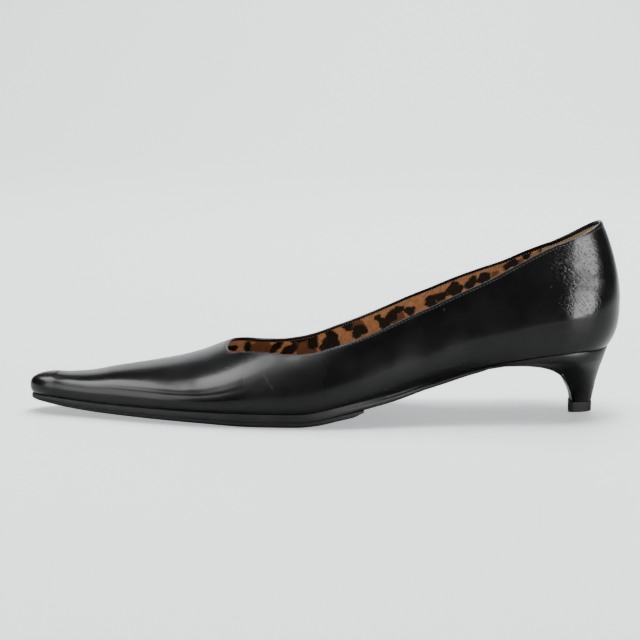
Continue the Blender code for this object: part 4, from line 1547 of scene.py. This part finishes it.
@dataclass
class Heel:
    """The leather covered heel and its rubber top lift."""

    last: Last
    cover: bpy.types.Material
    rubber: bpy.types.Material
    seat_length: float = 0.0526
    inset: float = 0.0005
    lip: float = 0.0004
    foot_width: float = 0.0125
    lift_height: float = 0.0045
    lift_overhang: float = 0.0002
    lift_edge: float = 0.0002
    lift_corner: float = 0.0007
    lift_lead: float = 0.0016
    seat_rounding: float = 0.0005
    flap_thickness: float = 0.0010
    foot_rounding: float = 2.4
    points: int = 34
    rings: int = 60

    def __post_init__(self) -> None:
        """Works out where the seat and the foot lie, and makes the curves of the rings."""
        self.seat_back = self.last.sole_length - self.inset
        self.lip_x = self.seat_back - self.seat_length
        self.foot_level = self.lift_height + self.last.seam_gap
        self.curves = {
            name: Curve(HEEL_RINGS, {name: 1}, "number")
            for name in ("front_reach", "front_level", "back_reach", "back_level", "width")
        }

    def front(self, number: np.ndarray) -> np.ndarray:
        """Front point of a ring, as x and z."""
        rise = float(self.last.seat_under(self.lip_x)) - self.foot_level
        x = self.seat_back - self.curves["front_reach"](number) * self.seat_length
        return np.stack([x, self.foot_level + self.curves["front_level"](number) * rise], axis=-1)

    def back(self, number: np.ndarray) -> np.ndarray:
        """Back point of a ring, as x and z."""
        rise = float(self.last.seat_under(self.seat_back)) - self.foot_level
        x = self.seat_back - self.curves["back_reach"](number) * self.seat_length
        return np.stack([x, self.foot_level + self.curves["back_level"](number) * rise], axis=-1)

    def foot_half(self, number: np.ndarray) -> np.ndarray:
        """Half width of the rounded shape that the heel turns into towards its foot."""
        return 0.5 * self.foot_width * self.curves["width"](number) / HEEL_RINGS[-1].width

    def seat_half(self, share: np.ndarray, side: float) -> np.ndarray:
        """Half width of the seat, from its front to its back."""
        station = np.minimum((self.lip_x + share * self.seat_length) / self.last.sole_length, 1.0)
        return np.clip(self.last.half_width(station, side) - self.inset, 0, None) * (share < 1)

    def breast_width(self, number: np.ndarray, side: float) -> np.ndarray:
        """Half width at the front of a ring, where flap and heel meet."""
        blend = number / len(HEEL_RINGS)
        seat = float(self.last.half_width(self.lip_x / self.last.sole_length, side)) - self.inset
        return self.curves["width"](number) * seat * (1 - blend) + blend * self.foot_half(number)

    def ring(self, number: float) -> np.ndarray:
        """Points of one ring, from the outer front corner round the back to the inner one."""
        share = np.sin(np.linspace(0, math.pi / 2, self.points + 1))
        halves = []
        for side in (LATERAL, MEDIAL):
            if number < 1:
                turn = (1 - number) * math.pi / 2
                tuck = self.seat_rounding * (1 - math.cos(turn))
                x = self.lip_x + share * (self.seat_length - tuck)
                half = np.clip(self.seat_half(share, side) - tuck, 0, None)
                drop = self.seat_rounding * (1 - math.sin(turn)) + self.lip * (1 - share) * number
                halves.append(self.last.placed(x, side * half, self.last.seat_under(x) - drop))
                continue
            front, back = self.front(np.array(number)), self.back(np.array(number))
            blend = number / len(HEEL_RINGS)
            rounded = (1 - share ** self.foot_rounding) ** (1 / self.foot_rounding)
            foot = self.foot_half(np.array(number)) * rounded
            width = float(self.curves["width"](number))
            half = width * self.seat_half(share, side) * (1 - blend) + blend * foot
            x, z = front[:, None] + (back - front)[:, None] * share
            halves.append(self.last.placed(x, side * half, z))
        return np.concatenate([halves[0], halves[1][-2::-1]])

    def build(self) -> None:
        """Builds the cover and the top lift."""
        numbers = np.concatenate([[0.0, 0.3, 0.6, 0.9], np.linspace(1, len(HEEL_RINGS), self.rings)])
        loops = np.stack([self.ring(float(number)) for number in numbers], axis=1)
        shape = sheet_over(np.concatenate([loops, loops[:1]]))
        close_ends(shape)
        piece = finished("heel_cover", shape, self.cover, ["heel"], 42.0)
        log.info("heel_cover: %d vertices", len(piece.data.vertices))
        self.build_lift()

    def build_lift(self) -> None:
        """The rubber top lift, with its small cut facets."""
        foot = np.array(float(len(HEEL_RINGS)))
        front = float(self.front(foot)[0]) - self.last.seam_gap - self.flap_thickness - self.lift_overhang
        back = float(self.back(foot)[0]) + self.lift_overhang
        half = 0.5 * self.foot_width + self.lift_overhang
        lean = 0.5 * self.lift_overhang
        rows = [
            (self.lift_height, self.lift_edge, 0.0),
            (self.lift_height - 0.0003, 0.0, 0.0),
            (self.lift_edge, 0.0, lean),
            (0.0, self.lift_edge, lean),
        ]
        loops = []
        for level, inset, tuck in rows:
            sides = []
            for side in (LATERAL, MEDIAL):
                share = np.sin(np.linspace(0, math.pi / 2, 10))
                lead = self.lift_lead if side == LATERAL else 0.0
                x = front + inset + share * (back - tuck - front - 2 * inset) - (1 - share) * lead
                rounded = np.clip(1 - share ** self.foot_rounding, 0, 1) ** (1 / self.foot_rounding)
                y = (half - inset) * rounded
                y[0] -= self.lift_corner
                sides.append(self.last.placed(x, side * y, level))
            loops.append(np.concatenate([sides[0], sides[1][-2::-1]]))
        stacked = np.stack(loops, axis=1)
        shape = sheet_over(np.concatenate([stacked, stacked[:1]]))
        close_ends(shape)
        finished("top_lift_rubber", shape, self.rubber, ["top_lift"], 8.0)
        log.info("top_lift_rubber built")


class LightRow(NamedTuple):
    """A soft light: where it stands, the point it faces, its size, and its power in watts.

    A card is only mirrored in the leather and doesn't light the floor.
    """

    name: str
    place: tuple[float, float, float]
    aim: tuple[float, float, float]
    size: tuple[float, float]
    power: float
    card: bool = True


LIGHTS = [
    LightRow("overhead", (-0.1, 0.15, 2.0), (-0.05, 0.05, 0.0), (1.0, 0.7), 34.0, card=False),
    LightRow("floor_light", (0.4, 1.1, 2.2), (0.0, 1.0, 0.0), (2.0, 1.2), 84.0, card=False),
    LightRow("toe_card", (-0.83, 0.32, 1.1), (-0.83, 0.32, 0.0), (0.76, 0.66), 21.0),
    LightRow("toe_side_card", (-1.05, -0.22, 1.1), (-1.05, -0.22, 0.0), (0.80, 0.40), 10.0),
    LightRow("counter_card", (1.31, -0.80, 0.87), (1.31, 0.0, 0.87), (1.78, 0.58), 106.0),
    LightRow("seat_card", (1.03, -0.80, 0.21), (1.03, 0.0, 0.21), (1.10, 0.38), 44.0),
    LightRow("left_card", (-0.95, -0.66, 0.42), (-0.05, 0.0, 0.03), (0.60, 1.00), 15.0),
]


@dataclass
class Studio:
    """Pale floor and backdrop, soft lights and the camera."""

    floor_colour: Colour = (0.88, 0.905, 0.91)
    focal_pixels: float = 1558.0
    picture: int = 640
    sensor: float = 36.0
    rise: float = 0.30
    glow: float = 0.55
    steps: int = 60
    sweep_near: float = -3.0
    sweep_far: float = 1.6
    sweep_half: float = 4.0
    clip: tuple[float, float] = (0.01, 30.0)
    camera_place: tuple[float, float, float] = (-0.0016, -0.700, 0.154)
    camera_pitch: float = 80.9
    room: Colour = (0.80, 0.83, 0.85)
    room_strength: float = 0.05

    def build(self) -> None:
        """Builds the sweep, the lights and the camera."""
        self.sweep()
        self.lights()
        self.camera()

    def sweep(self) -> None:
        """Floor and backdrop as one sheet with a large bend."""
        reach = np.linspace(0, 1, self.steps)
        flat = self.sweep_near + reach * 2 * (self.sweep_far - self.sweep_near)
        run = np.where(reach < 0.5, flat, self.sweep_far)
        bend = np.clip((reach - 0.5) / 0.25, 0, 1) * math.pi / 2
        y = run + np.where(reach >= 0.5, np.sin(bend), 0.0)
        wall = np.clip((reach - 0.75) * self.rise * 4, 0, None)
        z = np.where(reach >= 0.5, 1 - np.cos(bend), 0.0) + wall
        across = np.linspace(-self.sweep_half, self.sweep_half, 3)
        points = np.stack([np.stack([np.full(self.steps, x), y, z], axis=1) for x in across])
        shape = sheet_over(points)
        mesh = bpy.data.meshes.new("sweep")
        shape.to_mesh(mesh)
        shape.free()
        mesh.shade_smooth()
        made, bench, shader = principled("studio_sweep")
        tone = bench.ramp(bench.noise(bench.place(), 1.2, 1.0), 0.3, 0.7)
        low = tuple(0.985 * part for part in self.floor_colour)
        bench.feed(shader.inputs["Base Color"], bench.blend(tone, low, self.floor_colour))
        shader.inputs["Roughness"].default_value = 0.55
        shader.inputs["Specular IOR Level"].default_value = 0.25
        seen = bench.put("LightPath").outputs["Is Camera Ray"]
        shader.inputs["Emission Color"].default_value = (0.93, 0.98, 1.0, 1.0)
        bench.feed(shader.inputs["Emission Strength"], bench.math("MULTIPLY", seen, self.glow))
        mesh.materials.append(made)
        floor = bpy.data.objects.new("sweep", mesh)
        bpy.context.scene.collection.objects.link(floor)

    def softbox(self, row: LightRow) -> None:
        """A soft rectangular light.

        Args:
            row: Its place, size and power.
        """
        light = bpy.data.lights.new(row.name, "AREA")
        light.shape = "RECTANGLE"
        light.size, light.size_y = row.size
        light.energy = row.power
        lamp = bpy.data.objects.new(row.name, light)
        lamp.location = row.place
        lamp.visible_diffuse = not row.card
        facing = Vector(row.aim) - Vector(row.place)
        lamp.rotation_euler = facing.to_track_quat("-Z", "Y").to_euler()
        bpy.context.scene.collection.objects.link(lamp)

    def lights(self) -> None:
        """Two lights from above, the cards that the leather mirrors at toe and counter, and a dim room."""
        for row in LIGHTS:
            self.softbox(row)
        world = bpy.data.worlds.new("room")
        world.use_nodes = True
        background = world.node_tree.nodes["Background"].inputs
        background["Color"].default_value = (*self.room, 1.0)
        background["Strength"].default_value = self.room_strength
        bpy.context.scene.world = world

    def camera(self) -> None:
        """The camera of the photograph."""
        data = bpy.data.cameras.new("camera")
        data.sensor_width = self.sensor
        data.lens = self.sensor * self.focal_pixels / self.picture
        data.clip_start, data.clip_end = self.clip
        camera = bpy.data.objects.new("camera", data)
        camera.location = self.camera_place
        camera.rotation_euler = (math.radians(self.camera_pitch), 0.0, 0.0)
        bpy.context.scene.collection.objects.link(camera)
        bpy.context.scene.camera = camera


def main() -> None:
    """Builds every piece of the shoe and the studio round it."""
    logging.basicConfig(level=logging.INFO, format="%(name)s: %(message)s")
    calf = LeatherFinish(
        "polished_calf", (0.0055, 0.0055, 0.006), (0.022, 0.022, 0.023), 0.19, 0.45,
        cells=2300.0, grain=0.000008, wrinkle=0.00009,
        coat=0.05, coat_roughness=0.08, spread=0.05, gloss=0.15,
    ).make()
    cover = LeatherFinish(
        "heel_leather", (0.0055, 0.0055, 0.006), (0.022, 0.022, 0.023), 0.36, 0.5,
        cells=2300.0, grain=0.000008, spread=0.05, gloss=0.15,
    ).make()
    sole = LeatherFinish(
        "sole_edge_leather", (0.0075, 0.0075, 0.0075), (0.030, 0.030, 0.029), 0.45, 0.7,
        cells=1500.0, grain=0.00003, clouding=0.3, spread=0.15, gloss=0.2,
    ).make()
    sock = LeatherFinish(
        "sock_leather", (0.42, 0.27, 0.14), (0.24, 0.14, 0.07), 0.48, 0.6,
        cells=1600.0, grain=0.00003, clouding=0.35,
    ).make()
    heel_lining = LeatherFinish(
        "heel_lining_leather", (0.66, 0.56, 0.40), (0.40, 0.30, 0.18), 0.42, 0.6,
        cells=1500.0, grain=0.00003, clouding=0.3,
    ).make()
    hair = CalfHairFinish(
        "spotted_calf_hair",
        (0.62, 0.35, 0.20), (0.80, 0.52, 0.33), (0.16, 0.065, 0.032), (0.005, 0.004, 0.004),
    ).make()
    rubber = RubberFinish("half_sole_rubber", (0.0075, 0.0075, 0.0075), (0.024, 0.023, 0.022)).make()
    lift_rubber = RubberFinish("lift_rubber", (0.005, 0.005, 0.0053), (0.014, 0.013, 0.0125), 0.6).make()
    thread = ThreadFinish("black_thread", (0.016, 0.016, 0.017)).make()
    pale = ThreadFinish("pale_thread", (0.55, 0.53, 0.50)).make()

    last = Last()
    heel = Heel(last, cover, lift_rubber)
    Upper(last, calf, thread, pale).build()
    Lining(last, hair, heel_lining).build()
    Soles(last, heel, sole, rubber, sock).build()
    heel.build()
    Studio().build()


if __name__ == "__main__":
    main()
